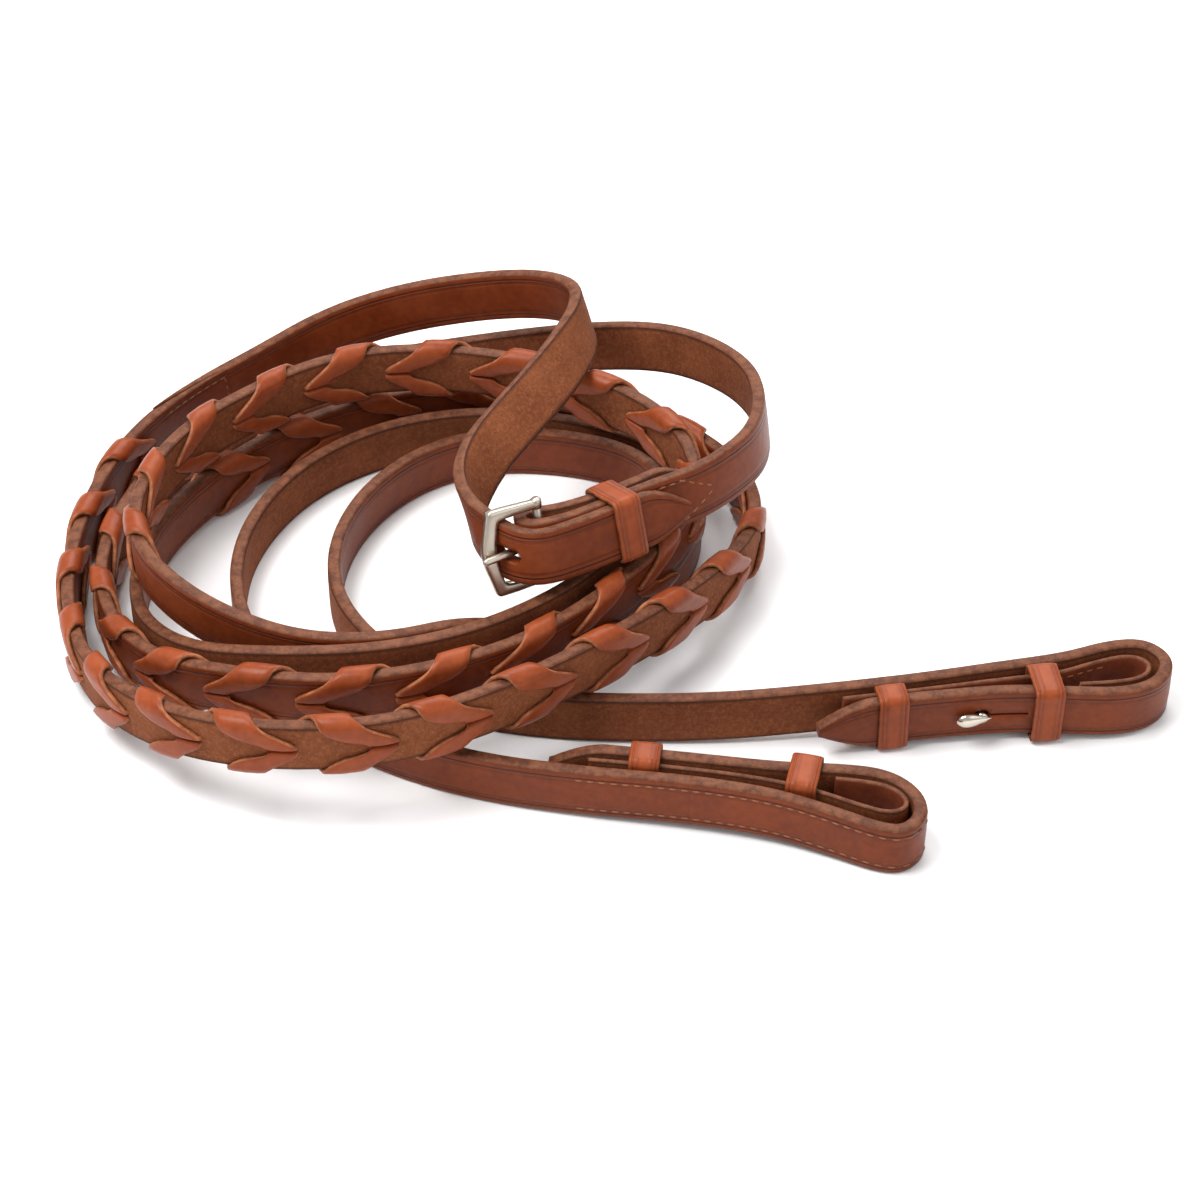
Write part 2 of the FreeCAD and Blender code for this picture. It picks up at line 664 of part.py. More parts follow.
def make_end_keepers(doc, half):
    """The two keepers of a bit end, each round the billet and the lining."""
    for piece in ("tip_keeper", "loop_keeper"):
        name = half.name(piece)
        way, toward_lining, turn = END_KEEPERS[name]
        spot = half.route.placement(half.stud + way)
        skew = FreeCAD.Placement(Vec(0, 0, 0), FreeCAD.Rotation(Vec(0, 0, 1), turn))
        aside = FreeCAD.Placement(Vec(0, -half.outward * toward_lining, 0), FreeCAD.Rotation())
        make_keeper(doc, name, name + "_deep", spot.multiply(skew).multiply(aside))


def make_buckle_keeper(doc, half):
    """The keeper that holds the billet against the doubled strap behind the buckle."""
    along = half.route.nearest(Vec(*BUCKLE_KEEPER_AT), half.route.knot(BUCKLE_FOLD + 1))
    make_keeper(doc, "buckle_keeper", "buckle_keeper_deep", half.route.placement(along, 0.0, KEEPER_SHIFT))


# ---------------------------------------------------------------- buckle
def buckle_placement():
    """X from the hinge bar to the front bar, Y up the hinge bar, Z to the side of the chape."""
    up = Vec(*HINGE_UP).normalize()
    reach = Vec(*HINGE_REACH)
    reach = (reach - up * reach.dot(up)).normalize()
    turn = FreeCAD.Rotation(reach, up, reach.cross(up), "XYZ")
    return FreeCAD.Placement(Vec(*HINGE_AT), turn)


def frame_outline(sketch):
    """A C in the sketch plane, open at the hinge bar, with a bowed front bar."""
    size = DIMENSIONS
    tall, reach, arm = size["frame_height"] / 2, size["frame_reach"], size["arm_width"]
    corner = reach - size["bar_bulge"]
    inner_reach = reach - size["bar_width"]
    inner_corner = inner_reach - size["inner_bulge"]
    inner = tall - arm
    lines = [((corner, -tall), (0, -tall)), ((0, -tall), (0, -inner)), ((0, -inner), (inner_corner, -inner)),
             ((inner_corner, inner), (0, inner)), ((0, inner), (0, tall)), ((0, tall), (corner, tall))]
    for start, end in lines:
        sketch.addGeometry(Part.LineSegment(Vec(*start, 0), Vec(*end, 0)), False)
    outer_bar = Part.Arc(Vec(corner, -tall, 0), Vec(reach, 0, 0), Vec(corner, tall, 0))
    inner_bar = Part.Arc(Vec(inner_corner, -inner, 0), Vec(inner_reach, 0, 0), Vec(inner_corner, inner, 0))
    outer = sketch.addGeometry(outer_bar, False)
    inside = sketch.addGeometry(inner_bar, False)
    return outer, inside


def constrain_frame(sketch, outer, inside):
    """Tie the frame outline to the sheet: heights, reach and the widths of bar and arms."""
    def add(kind, *args):
        return sketch.addConstraint(Sketcher.Constraint(kind, *args))

    size = DIMENSIONS
    for index in (0, 2, 3, 5):
        add("Horizontal", index)
    for index in (1, 4):
        add("Vertical", index)
    for first, second in ((0, 1), (1, 2), (3, 4), (4, 5)):
        add("Coincident", first, 2, second, 1)
    add("Coincident", outer, 1, 0, 1)
    add("Coincident", outer, 2, 5, 2)
    add("Coincident", inside, 1, 2, 2)
    add("Coincident", inside, 2, 3, 1)
    add("PointOnObject", 1, 1, -2)
    add("PointOnObject", 4, 1, -2)
    add("PointOnObject", outer, 3, -1)
    add("PointOnObject", inside, 3, -1)
    bulge, inner = size["bar_bulge"], size["frame_height"] / 2 - size["arm_width"]
    outer_radius = (size["frame_height"] ** 2 / 4 + bulge ** 2) / (2 * bulge)
    inner_radius = (inner ** 2 + size["inner_bulge"] ** 2) / (2 * size["inner_bulge"])
    sizes = {
        add("Radius", outer, outer_radius):
            "(dimensions.frame_height ^ 2 / 4 + dimensions.bar_bulge ^ 2) / (2 * dimensions.bar_bulge)",
        add("Radius", inside, inner_radius):
            "((dimensions.frame_height / 2 - dimensions.arm_width) ^ 2 + dimensions.inner_bulge ^ 2)"
            " / (2 * dimensions.inner_bulge)",
        add("DistanceX", 2, 1, 2, 2, size["frame_reach"] - size["bar_width"] - size["inner_bulge"]):
            "dimensions.frame_reach - dimensions.bar_width - dimensions.inner_bulge",
        add("DistanceY", 0, 2, -1, 1, size["frame_height"] / 2): "dimensions.frame_height / 2",
        add("DistanceY", -1, 1, 4, 2, size["frame_height"] / 2): "dimensions.frame_height / 2",
        add("DistanceY", 1, 1, 1, 2, size["arm_width"]): "dimensions.arm_width",
        add("DistanceY", 4, 1, 4, 2, size["arm_width"]): "dimensions.arm_width",
        add("DistanceX", 0, 2, 0, 1, size["frame_reach"] - size["bar_bulge"]):
            "dimensions.frame_reach - dimensions.bar_bulge",
    }
    for index, formula in sizes.items():
        sketch.setExpression(f"Constraints[{index}]", formula)


def make_buckle_frame(doc):
    """Cast frame: bowed front bar and two arms, on a round hinge bar."""
    body = doc.addObject("PartDesign::Body", "buckle_frame")
    body.Label = "buckle_frame"
    sketch = body_sketch(doc, body, "XY_Plane", "frame_outline")
    outer, inside = frame_outline(sketch)
    constrain_frame(sketch, outer, inside)
    pad = body.newObject("PartDesign::Pad", "frame_pad")
    pad.Profile = sketch
    pad.Midplane = True
    bind(pad, Length="dimensions.frame_thick")
    doc.recompute()
    fillet = body.newObject("PartDesign::Fillet", "frame_round")
    fillet.Base = (pad, [f"Edge{n}" for n, edge in enumerate(pad.Shape.Edges, start=1) if lies_flat(edge)])
    bind(fillet, Radius="dimensions.metal_round")
    doc.recompute()
    circle = body_sketch(doc, body, "XZ_Plane", "hinge_circle")
    circle.addGeometry(Part.Circle(Vec(0, 0, 0), Vec(0, 0, 1), 1.5), False)
    circle.addConstraint(Sketcher.Constraint("Coincident", 0, 3, -1, 1))
    radius = circle.addConstraint(Sketcher.Constraint("Radius", 0, 1.5))
    circle.setExpression(f"Constraints[{radius}]", "dimensions.hinge_radius")
    bar = body.newObject("PartDesign::Pad", "hinge_bar")
    bar.Profile = circle
    bar.Midplane = True
    bind(bar, Length="dimensions.frame_height")
    body.Tip = bar
    body.Placement = buckle_placement()
    return body


def lies_flat(edge):
    """True for an edge in the frame's front or back face, away from the hinge bar."""
    box = edge.BoundBox
    return box.ZLength < 1e-4 and box.XMax > 0.5


def make_buckle_tongue(doc):
    """Wire tongue: an eye round the hinge bar and a straight finger over the front bar."""
    eye = doc.addObject("Part::Cylinder", "tongue_eye_disc")
    bind(eye, Radius="dimensions.tongue_eye", Height="dimensions.tongue_eye_tall")
    eye.Placement = turned(Vec(0, 0, 0), Vec(0, 1, 0), DIMENSIONS["tongue_eye_tall"] / 2)
    finger = doc.addObject("Part::Cylinder", "tongue_finger")
    bind(finger, Radius="dimensions.tongue_radius", Height="dimensions.tongue_reach")
    lean = math.radians(TONGUE_LEAN)
    finger.Placement = turned(Vec(0, 0, 0), Vec(math.cos(lean), 0, -math.sin(lean)), 0.0)
    bore = doc.addObject("Part::Cylinder", "tongue_bore")
    bind(bore, Radius="dimensions.hinge_radius + dimensions.hinge_play", Height="4 * dimensions.tongue_eye_tall")
    bore.Placement = turned(Vec(0, 0, 0), Vec(0, 1, 0), 2 * DIMENSIONS["tongue_eye_tall"])
    whole = doc.addObject("Part::MultiFuse", "tongue_whole")
    whole.Shapes = [eye, finger]
    tongue = doc.addObject("Part::Cut", "buckle_tongue")
    tongue.Label = "buckle_tongue"
    tongue.Base = whole
    tongue.Tool = bore
    tongue.Placement = buckle_placement()
    return tongue


def turned(point, axis, back):
    """Placement that lays a primitive's own Z on an axis, slid back along it."""
    axis = Vec(axis).normalize()
    return FreeCAD.Placement(point - axis * back, FreeCAD.Rotation(Vec(0, 0, 1), axis))


# ---------------------------------------------------------------- hook studs
def stud_placement(half):
    """X along the billet to its tip, Z out of its face, origin in the middle of the billet."""
    here, forward, _, left = half.route.frame(half.stud)
    out = left * half.outward
    return FreeCAD.Placement(here, FreeCAD.Rotation(forward, out.cross(forward), out, "ZXY"))


def make_hook_stud(doc, half):
    """Hook stud: flange behind the lining, shank through the billet, long head over the slit."""
    size = DIMENSIONS
    back = stud_in_liner(half)[1] + size["liner_thick"] / 2 + size["stud_play"]
    front = size["strap_thick"] / 2 + 0.35
    name = half.name("hook_stud")
    flange = doc.addObject("Part::Cylinder", name + "_flange")
    bind(flange, Radius="dimensions.stud_flange", Height="dimensions.stud_flange_thick")
    flange.Placement.Base = Vec(0, 0, -back - size["stud_flange_thick"])
    shank = doc.addObject("Part::Cylinder", name + "_shank")
    bind(shank, Radius="dimensions.stud_shank")
    shank.Height = back + front + size["stud_flange_thick"] / 2 + 1.0
    shank.Placement.Base = Vec(0, 0, -back - size["stud_flange_thick"] / 2)
    head = doc.addObject("Part::Ellipsoid", name + "_head")
    bind(head, Radius1="dimensions.stud_head_high / 2", Radius2="dimensions.stud_head_long / 2",
         Radius3="dimensions.stud_head_wide / 2")
    head.Placement.Base = Vec(size["stud_head_long"] * 0.24, 0, front + size["stud_head_high"] / 2)
    stud = doc.addObject("Part::MultiFuse", name)
    stud.Label = name
    stud.Shapes = [flange, shank, head]
    stud.Placement = stud_placement(half)
    return stud


def make_hook_washer(doc, half):
    """The washer between the lining and the billet."""
    size = DIMENSIONS
    name = half.name("hook_washer")
    disc = doc.addObject("Part::Cylinder", name + "_disc")
    bind(disc, Radius="dimensions.washer_radius", Height="dimensions.washer_thick")
    bore = doc.addObject("Part::Cylinder", name + "_bore")
    bind(bore, Radius="dimensions.stud_shank + dimensions.hinge_play", Height="3 * dimensions.washer_thick")
    bore.Placement.Base = Vec(0, 0, -size["washer_thick"])
    washer = doc.addObject("Part::Cut", name)
    washer.Label = name
    washer.Base = disc
    washer.Tool = bore
    lift = -stud_in_liner(half)[1] + size["liner_thick"] / 2 + size["stud_play"]
    washer.Placement = stud_placement(half).multiply(FreeCAD.Placement(Vec(0, 0, lift), FreeCAD.Rotation()))
    return washer


# ---------------------------------------------------------------- whole
PIECES = [f"{piece}_{letter}" for letter in "ab" for piece in (
    "hand_strap", "main_strap", "end_strap", "upper_lace", "lower_lace", "end_liner", "tip_keeper",
    "loop_keeper", "hook_stud", "hook_washer", "splice_stitches", "end_stitches")]
PIECES += ["buckle_frame", "buckle_tongue", "buckle_keeper", "buckle_stitches"]


def make_half(doc, half):
    """Everything of one half but its hand strap."""
    make_main_strap(doc, half)
    make_end_strap(doc, half)
    make_lace(doc, half, "upper_lace", 1)
    make_lace(doc, half, "lower_lace", -1)
    make_liner(doc, half)
    make_end_keepers(doc, half)
    make_hook_stud(doc, half)
    make_hook_washer(doc, half)
    make_splice_stitches(doc, half)
    make_end_stitches(doc, half)


def centre(doc):
    """Move every piece so that the origin is the middle of the footprint on the floor."""
    boxes = [doc.getObjectsByLabel(name)[0].Shape.BoundBox for name in PIECES]
    whole = boxes[0]
    for box in boxes[1:]:
        whole.add(box)
    shift = Vec(-(whole.XMin + whole.XMax) / 2, -(whole.YMin + whole.YMax) / 2, -whole.ZMin)
    print("box", whole, "shift", shift)
    for name in PIECES:
        piece = doc.getObjectsByLabel(name)[0]
        piece.Placement = FreeCAD.Placement(shift, FreeCAD.Rotation()).multiply(piece.Placement)


def main():
    """Build the reins, check every piece and write them."""
    doc = FreeCAD.newDocument("reins")
    make_sheet(doc)
    half_a = Half("a", HAND_A + LACED_A + PLAIN_A + END_A, LINER_A, -1)
    half_b = Half("b", HAND_B + LACED_B + PLAIN_B + END_B, LINER_B, 1)
    fold = half_a.route.knot(BUCKLE_FOLD)
    reach = DIMENSIONS["chape_slot_reach"]
    make_hand_strap(doc, half_a, [(fold - reach, fold + reach, DIMENSIONS["chape_slot"] / 2)], 13.0, 0.8)
    hole = half_b.route.nearest(Vec(*TONGUE_AT))
    reach = DIMENSIONS["hole_length"] / 2
    make_hand_strap(doc, half_b, [(hole - reach, hole + reach, DIMENSIONS["hole_height"] / 2)], 13.0, 1.5)
    make_half(doc, half_a)
    make_half(doc, half_b)
    make_buckle_stitches(doc, half_a)
    make_buckle_keeper(doc, half_a)
    make_buckle_frame(doc)
    make_buckle_tongue(doc)
    doc.recompute()
    centre(doc)
    doc.recompute()
    for obj in doc.Objects:
        if "Invalid" in obj.State or "Error" in obj.State:
            raise RuntimeError(f"{obj.Name} failed: {obj.State}")
    os.makedirs("parts", exist_ok=True)
    for name in PIECES:
        shape = doc.getObjectsByLabel(name)[0].Shape
        if shape.isNull() or not shape.isValid():
            raise RuntimeError(f"{name} has no valid shape")
        shape.exportStep(f"parts/{name}.step")


main()
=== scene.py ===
"""Looks of the laced leather reins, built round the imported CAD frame.

Routes are the same control points as the CAD straps, in millimetres, and every mesh is made in
metres: MM turns one into the other. CENTRE is the move that puts the coil's middle at the origin.
"""
import json
import math

import bpy
from mathutils import Matrix, Vector

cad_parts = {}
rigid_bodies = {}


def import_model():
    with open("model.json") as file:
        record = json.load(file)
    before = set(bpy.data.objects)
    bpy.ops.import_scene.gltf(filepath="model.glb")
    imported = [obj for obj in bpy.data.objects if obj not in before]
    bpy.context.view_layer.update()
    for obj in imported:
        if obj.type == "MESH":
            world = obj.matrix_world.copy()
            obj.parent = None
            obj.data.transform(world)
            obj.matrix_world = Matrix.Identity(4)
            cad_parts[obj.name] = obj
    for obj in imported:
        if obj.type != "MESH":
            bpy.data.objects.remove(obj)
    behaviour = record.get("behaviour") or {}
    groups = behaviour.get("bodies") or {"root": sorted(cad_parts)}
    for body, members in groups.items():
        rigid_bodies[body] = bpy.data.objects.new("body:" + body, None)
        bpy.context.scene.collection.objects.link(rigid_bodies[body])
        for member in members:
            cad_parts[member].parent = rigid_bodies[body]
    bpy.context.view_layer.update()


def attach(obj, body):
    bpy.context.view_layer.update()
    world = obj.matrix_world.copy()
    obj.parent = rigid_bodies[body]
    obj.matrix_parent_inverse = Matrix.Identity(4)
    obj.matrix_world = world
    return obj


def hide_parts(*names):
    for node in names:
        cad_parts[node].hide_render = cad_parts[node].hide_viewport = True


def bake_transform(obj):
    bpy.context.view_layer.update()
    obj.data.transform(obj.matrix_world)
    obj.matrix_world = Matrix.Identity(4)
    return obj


MM = 0.001
CENTRE = Vector((-1.6473, 1.1904, 0.0))

# Sizes of the straps, laces and fittings in millimetres, as in the CAD
HALF_WIDTH = 8.0
HALF_THICK = 1.9
SCARF = 28.0
FEATHER = 0.5
SLIT_PITCH = 26.5
LACE_THICK = 1.4
LACE_GAP = 0.2
KEEPER_TALL = 16.5
KEEPER_WALL = 1.3
KEEPER_WIDTH = 8.5
LINER_HALF_WIDTH = 7.5
LINER_HALF_THICK = 0.75
STUD_PLAY = 0.42

# Lengths of the strap pieces' pointed ends, and half of the strap that bends beside a bit end
HAND_POINT = 13.0
END_POINT = 15.0
BEND_PIECE = 16.0
BEND_TRAVEL = 13.0

# Holes and slots: long, tall, and how far through where it isn't the usual depth
STUD_HOLE = (4.6, 4.0)
STUD_SLIT = (11.5, 0.8)
STUD_SLIT_BACK = 7.5
LINER_HOLE = (3.6, 3.6)
TONGUE_SLOT = (15.0, 4.8, 16.0)
TONGUE_HOLE = (8.6, 3.6)

# Stitches: size, and height of each row from the strap's middle line
STITCH_LONG = 2.3
STITCH_WIDE = 0.54
SPLICE_ROW = 5.6
END_ROW = 5.3
BUCKLE_ROW = 5.8
END_ROW_LEAD = 14.0
END_ROW_LONG = 100.0
LINING_ROW_LONG = 13.0

# ---------------------------------------------------------------- routes
# Control points of each strap's middle line: x, y, z and lean in degrees
HAND_A = [
    (27.5, 2.8, 44.2, -17), (12.1, -8.6, 44.7, -18), (1.2, -15.3, 44.7, -18), (-8, -19, 44, -18),
    (-14, -20.4, 43.6, -18), (-19.9, -21.6, 43.8, -17), (-22, -25.3, 44.8, -7),
    (-18.8, -28.9, 45.9, 8), (-13.5, -28.5, 46.1, 17), (-5.5, -25, 46, 18), (3.5, -19.5, 46, 18),
    (14.5, -12.5, 46, 18), (27.5, -5, 45.5, 17), (38, 6, 44.5, 15), (45.5, 19, 42.5, 12),
    (48, 37, 39, 7), (45, 57, 35, 1), (35, 74, 31, -3), (20, 87, 27, -5), (0, 95.5, 21, -5),
    (-23, 100, 15, -4), (-46, 100.5, 11, -2), (-69, 96, 10, 0),
]
LACED_A = [
    (-95, 86, 10, 0), (-116, 67, 10, 0), (-132, 46, 10, 0), (-142, 21, 10, 0), (-145, -5, 10.5, 0),
    (-138, -31, 13, 0), (-122, -54, 20, 0), (-98, -66, 26, 0), (-73, -71, 27.5, 0),
    (-46, -66, 27.5, 0), (-21, -55, 27.5, 0), (-2, -38, 27, 0), (15, -18, 26.6, 0),
    (27, 3, 26.6, 0), (28, 25, 28, 0), (18, 44, 29.5, 0), (0, 58, 30, 0), (-25, 69, 30, 0),
    (-55, 73, 30.5, 0), (-82, 68, 30.5, 0), (-106, 51, 30.5, 0), (-124, 31, 31, 0),
    (-133, 5, 31, 0), (-131, -17, 31, 0), (-118.5, -33.5, 30, 0),
]
PLAIN_A = [
    (-101, -44.5, 27, 0), (-80, -51.5, 25.3, 0), (-58, -51, 25, 0), (-37.3, -44, 25, 0),
    (-17.5, -32.2, 8.8, 0), (3, -20, 8, 0), (22, 0, 8, 0), (30, 24, 8, 0), (25, 46, 8, 0),
    (9, 59, 8, 0), (-15, 68, 8, 0), (-42, 70, 8, 0), (-69, 62, 8, 0), (-91, 44, 8, 0),
    (-104, 18, 8, 0), (-106, -9, 8, 0), (-98, -33, 8, 0), (-84, -53, 8, 0), (-62, -69, 8, 0),
    (-35, -80.5, 8, 0), (-5, -87, 9, 0),
]
END_A = [
    (22, -91, 10.1, 0), (46, -96, 10.1, 0), (63, -102.5, 9, 0), (74, -107.5, 8.4, 0),
    (81, -108, 8, 0), (86, -102, 8, 0), (84.5, -94, 8.2, 0), (77, -88, 9, 0), (65, -87, 10, 0),
    (49, -86.5, 10.1, 0), (25.5, -83, 10.1, 0), (0, -79.5, 10.1, 0), (-14, -77.5, 9.4, 0),
]
HAND_B = [
    (25, -12.5, 46.8, -18), (16.7, -16.3, 47.2, -18), (5.7, -23.3, 47.2, -18), (-5, -29.6, 47, -18),
    (-16.2, -34.8, 46.6, -18), (-24.2, -32.2, 46, -15), (-30.7, -25.4, 46, -8), (-36, -16.5, 46, 8),
    (-37, -4.5, 46.5, 28), (-33, 10, 47, 42), (-24.5, 25.5, 47.5, 48), (-15.5, 42, 47.5, 48),
    (-8.5, 58, 47.5, 38), (-4.5, 73, 46.5, 22), (-6.5, 87, 44, 6), (-19, 96.5, 40.5, -4),
    (-40, 102, 35, -5), (-64, 106, 27, -5), (-86, 104, 19.5, -4), (-106, 94, 13, -2),
]
LACED_B = [
    (-126, 80, 10, 0), (-141, 59, 10, 0), (-150, 33, 10, 0), (-154, 5, 10, 0), (-152, -22, 11, 0),
    (-143, -48, 14, 0), (-126, -70, 20, 0), (-103, -85, 26, 0), (-77, -89, 27.5, 0),
    (-51, -85, 27.5, 0), (-25, -72, 27.5, 0), (-4, -57, 27, 0), (16, -38, 24, 0), (34, -14, 18, 0),
    (45, 9, 13, 0), (46, 31, 11, 0), (35, 52, 10, 0), (15, 68, 10, 0), (-9, 78, 10, 0),
    (-37, 81, 10, 0), (-67, 76, 10, 0), (-95, 61, 10, 0), (-116, 40, 10, 0),
]
PLAIN_B = [
    (-130, 16, 10, 0), (-134.5, -9, 10, 0), (-129, -31, 13, 0), (-113, -50, 20, 0),
    (-87, -57.5, 25.5, 0), (-60, -56, 25.5, 0), (-35, -49, 26, 0), (-12, -35, 26.5, 0),
    (4, -16.7, 26.2, 0), (14.4, 3.3, 21, 0), (20, 22, 13.5, 0), (19, 38, 9, 0), (9, 52, 8, 0),
    (-11, 59, 8, 0), (-35, 60, 8, 0), (-56, 50, 8, 0), (-71, 31, 8, 0), (-78, 8, 8, 0),
    (-76, -14, 8, 0), (-64, -34, 8, 0), (-44, -50, 8, 0), (-18, -56.5, 8, 0), (9, -58.5, 8.6, 0),
]
END_B = [
    (36, -58.5, 9.4, 0), (64, -55.5, 10.1, 0), (89, -51.5, 10.1, 0), (113, -46.5, 10.1, 0),
    (130, -42.5, 9.4, 0), (144, -36.5, 8.8, 0), (154, -35.5, 8.2, 0), (159.5, -42.5, 8, 0),
    (155.5, -51.5, 8.4, 0), (145.5, -56.5, 9.3, 0), (131, -57, 10.1, 0), (114.5, -56, 10.1, 0),
    (96.5, -58, 10.1, 0), (78.5, -60.5, 10.1, 0), (60, -64, 9.4, 0),
]
LINER_A = [
    (-3, -82.8, 9.5, 0), (22, -86.4, 10.1, 0), (45, -90.8, 10.1, 0), (58, -94.6, 9.6, 0),
    (69, -99.2, 8.8, 0), (77.5, -102, 8.4, 0), (82.4, -99.2, 8.4, 0), (80.6, -94.2, 8.6, 0),
    (74, -90.8, 9, 0), (63, -89.8, 9.4, 0),
]
LINER_B = [
    (67, -59.6, 10.1, 0), (89, -56.1, 10.1, 0), (112, -51.8, 10.1, 0), (127, -49.3, 9.7, 0),
    (138, -44, 9, 0), (148, -40.4, 8.6, 0), (154, -43, 8.4, 0), (152.5, -49, 8.6, 0),
    (144, -52, 9, 0), (133, -53, 9.4, 0),
]

# Places on the routes, as positions of control points
GRIP_START = {"a": 23, "b": 20}
GRIP_END = {"a": 48, "b": 43}
END_START = {"a": 69, "b": 66}
STUD_AT = {"a": 78, "b": 77}
BUCKLE_FOLD = 6

# The buckle: where its hinge bar is, the way up that bar and the way to the front bar
HINGE_AT = (-16.5, -24.9, 44.9)
HINGE_UP = (-0.111, 0.287, 0.951)
HINGE_REACH = (-0.887, -0.459, 0.035)
TONGUE_LEAN = 11.5
TONGUE_AT = (-24.4, -31.2, 46)
BUCKLE_KEEPER_AT = (5, -18.5, 46)
BUCKLE_KEEPER_DEEP = 14.3
BUCKLE_KEEPER_SHIFT = 0.52

# Bit-end keepers: way past the stud, shift towards the lining, turn about the strap's height in
# degrees, and depth inside
END_KEEPERS = {
    "tip_keeper_a": (25.0, 1.38, 0, 6.85),
    "loop_keeper_a": (-18.3, 2.69, -10, 11.1),
    "tip_keeper_b": (25.0, 0.89, 0, 5.85),
    "loop_keeper_b": (-18.3, 2.75, 10, 11.2),
}

# Material numbers of a strap's faces, and where its domed faces have points, as shares of its
# half height
GRAIN, FLESH, EDGE = 0, 1, 2
DOME_AT = (0.75, 0.4, 0, -0.4, -0.75)

# The view: how far away the camera is, in metres, and its height over the table, in degrees
CAMERA_AWAY = 0.910
CAMERA_LIFT = 42


# ---------------------------------------------------------------- curves
def mix(a, b, part):
    return tuple(x + (y - x) * part for x, y in zip(a, b))


class Route:
    """A strap's middle line: the clamped quadratic B-spline of its control points."""

    STEPS = 16

    def __init__(self, controls):
        pts = [tuple(float(v) for v in point) for point in controls]
        last = len(pts) - 3
        self.samples = []
        for i in range(len(pts) - 2):
            start = pts[i] if i == 0 else mix(pts[i], pts[i + 1], 0.5)
            end = pts[i + 2] if i == last else mix(pts[i + 1], pts[i + 2], 0.5)
            for step in range(self.STEPS):
                part = step / self.STEPS
                toward, away = mix(start, pts[i + 1], part), mix(pts[i + 1], end, part)
                self.samples.append(mix(toward, away, part))
        self.samples.append(pts[-1])
        self.reach = [0.0]
        for before, after in zip(self.samples, self.samples[1:]):
            self.reach.append(self.reach[-1] + math.dist(before[:3], after[:3]))
        self.length = self.reach[-1]

    def knot(self, index):
        return self.reach[index * self.STEPS]

    def frame(self, along):
        """Point, forward, up and left at a distance along the route, in millimetres."""
        along = min(max(along, 0.0), self.length)
        low, high = 0, len(self.reach) - 2
        while low < high:
            mid = (low + high + 1) // 2
            if self.reach[mid] <= along:
                low = mid
            else:
                high = mid - 1
        part = (along - self.reach[low]) / (self.reach[low + 1] - self.reach[low])
        here = mix(self.samples[low], self.samples[low + 1], part)
        forward = Vector(mix(self._heading(low), self._heading(low + 1), part)).normalized()
        left = Vector((0, 0, 1)).cross(forward).normalized()
        up = forward.cross(left)
        lean = math.radians(here[3])
        up, left = (up * math.cos(lean) + left * math.sin(lean),
                    left * math.cos(lean) - up * math.sin(lean))
        return Vector(here[:3]) + CENTRE, forward, up, left

    def _heading(self, index):
        before = self.samples[max(index - 1, 0)]
        after = self.samples[min(index + 1, len(self.samples) - 1)]
        return tuple(b - a for a, b in zip(before[:3], after[:3]))

    def point(self, along, height, aside):
        here, _, up, left = self.frame(along)
        return here + up * height + left * aside

    def nearest(self, target, start=0.0, end=1e9):
        """Distance along the route, between start and end, of the sample nearest to a point."""
        near = [(math.dist(sample[:3], tuple(target)), along)
                for sample, along in zip(self.samples, self.reach) if start <= along <= end]
        return min(near)[1]

    def matrix(self, along, height=0.0, aside=0.0):
        """X forward, Y left and Z up the strap, with the place in millimetres."""
        here, forward, up, left = self.frame(along)
        place = here + up * height + left * aside
        turn = Matrix((forward, left, up)).transposed().to_4x4()
        return Matrix.Translation(place) @ turn


class Half:
    """One rein: its routes and the places along them."""

    def __init__(self, letter, controls, liner, grain):
        self.letter = letter
        self.route = Route(controls)
        self.liner = Route(liner)
        self.grain = grain
        self.outward = -1 if letter == "a" else 1
        self.lap = self.route.knot(GRIP_START[letter] - 1)
        self.lap_end = self.lap + SCARF
        self.grip_end = self.route.knot(GRIP_END[letter] - 1)
        self.hinge = self.route.knot(END_START[letter] - 1)
        self.stud = self.route.knot(STUD_AT[letter])
        first = self.lap_end + SLIT_PITCH * 0.35
        count = int((self.grip_end - first) / SLIT_PITCH) + 1
        self.slits = [first + SLIT_PITCH * index for index in range(count)]
        self.body = "bit_end_" + letter

    def name(self, piece):
        return f"{piece}_{self.letter}"


# ---------------------------------------------------------------- meshes
def mesh_object(name, verts, faces, uvs, mats, materials):
    """An object from points in millimetres, face material numbers and a UV per face corner."""
    mesh = bpy.data.meshes.new(name)
    mesh.from_pydata([tuple(Vector(v) * MM) for v in verts], [], faces)
    for material in materials:
        mesh.materials.append(material)
    for polygon, number in zip(mesh.polygons, mats):
        polygon.material_index = number
        polygon.use_smooth = True
    layer = mesh.uv_layers.new(name="UVMap")
    corner = 0
    for face_uvs in uvs:
        for uv in face_uvs:
            layer.data[corner].uv = uv
            corner += 1
    mesh.validate()
    mesh.update()
    obj = bpy.data.objects.new(name, mesh)
    bpy.context.scene.collection.objects.link(obj)
    return obj


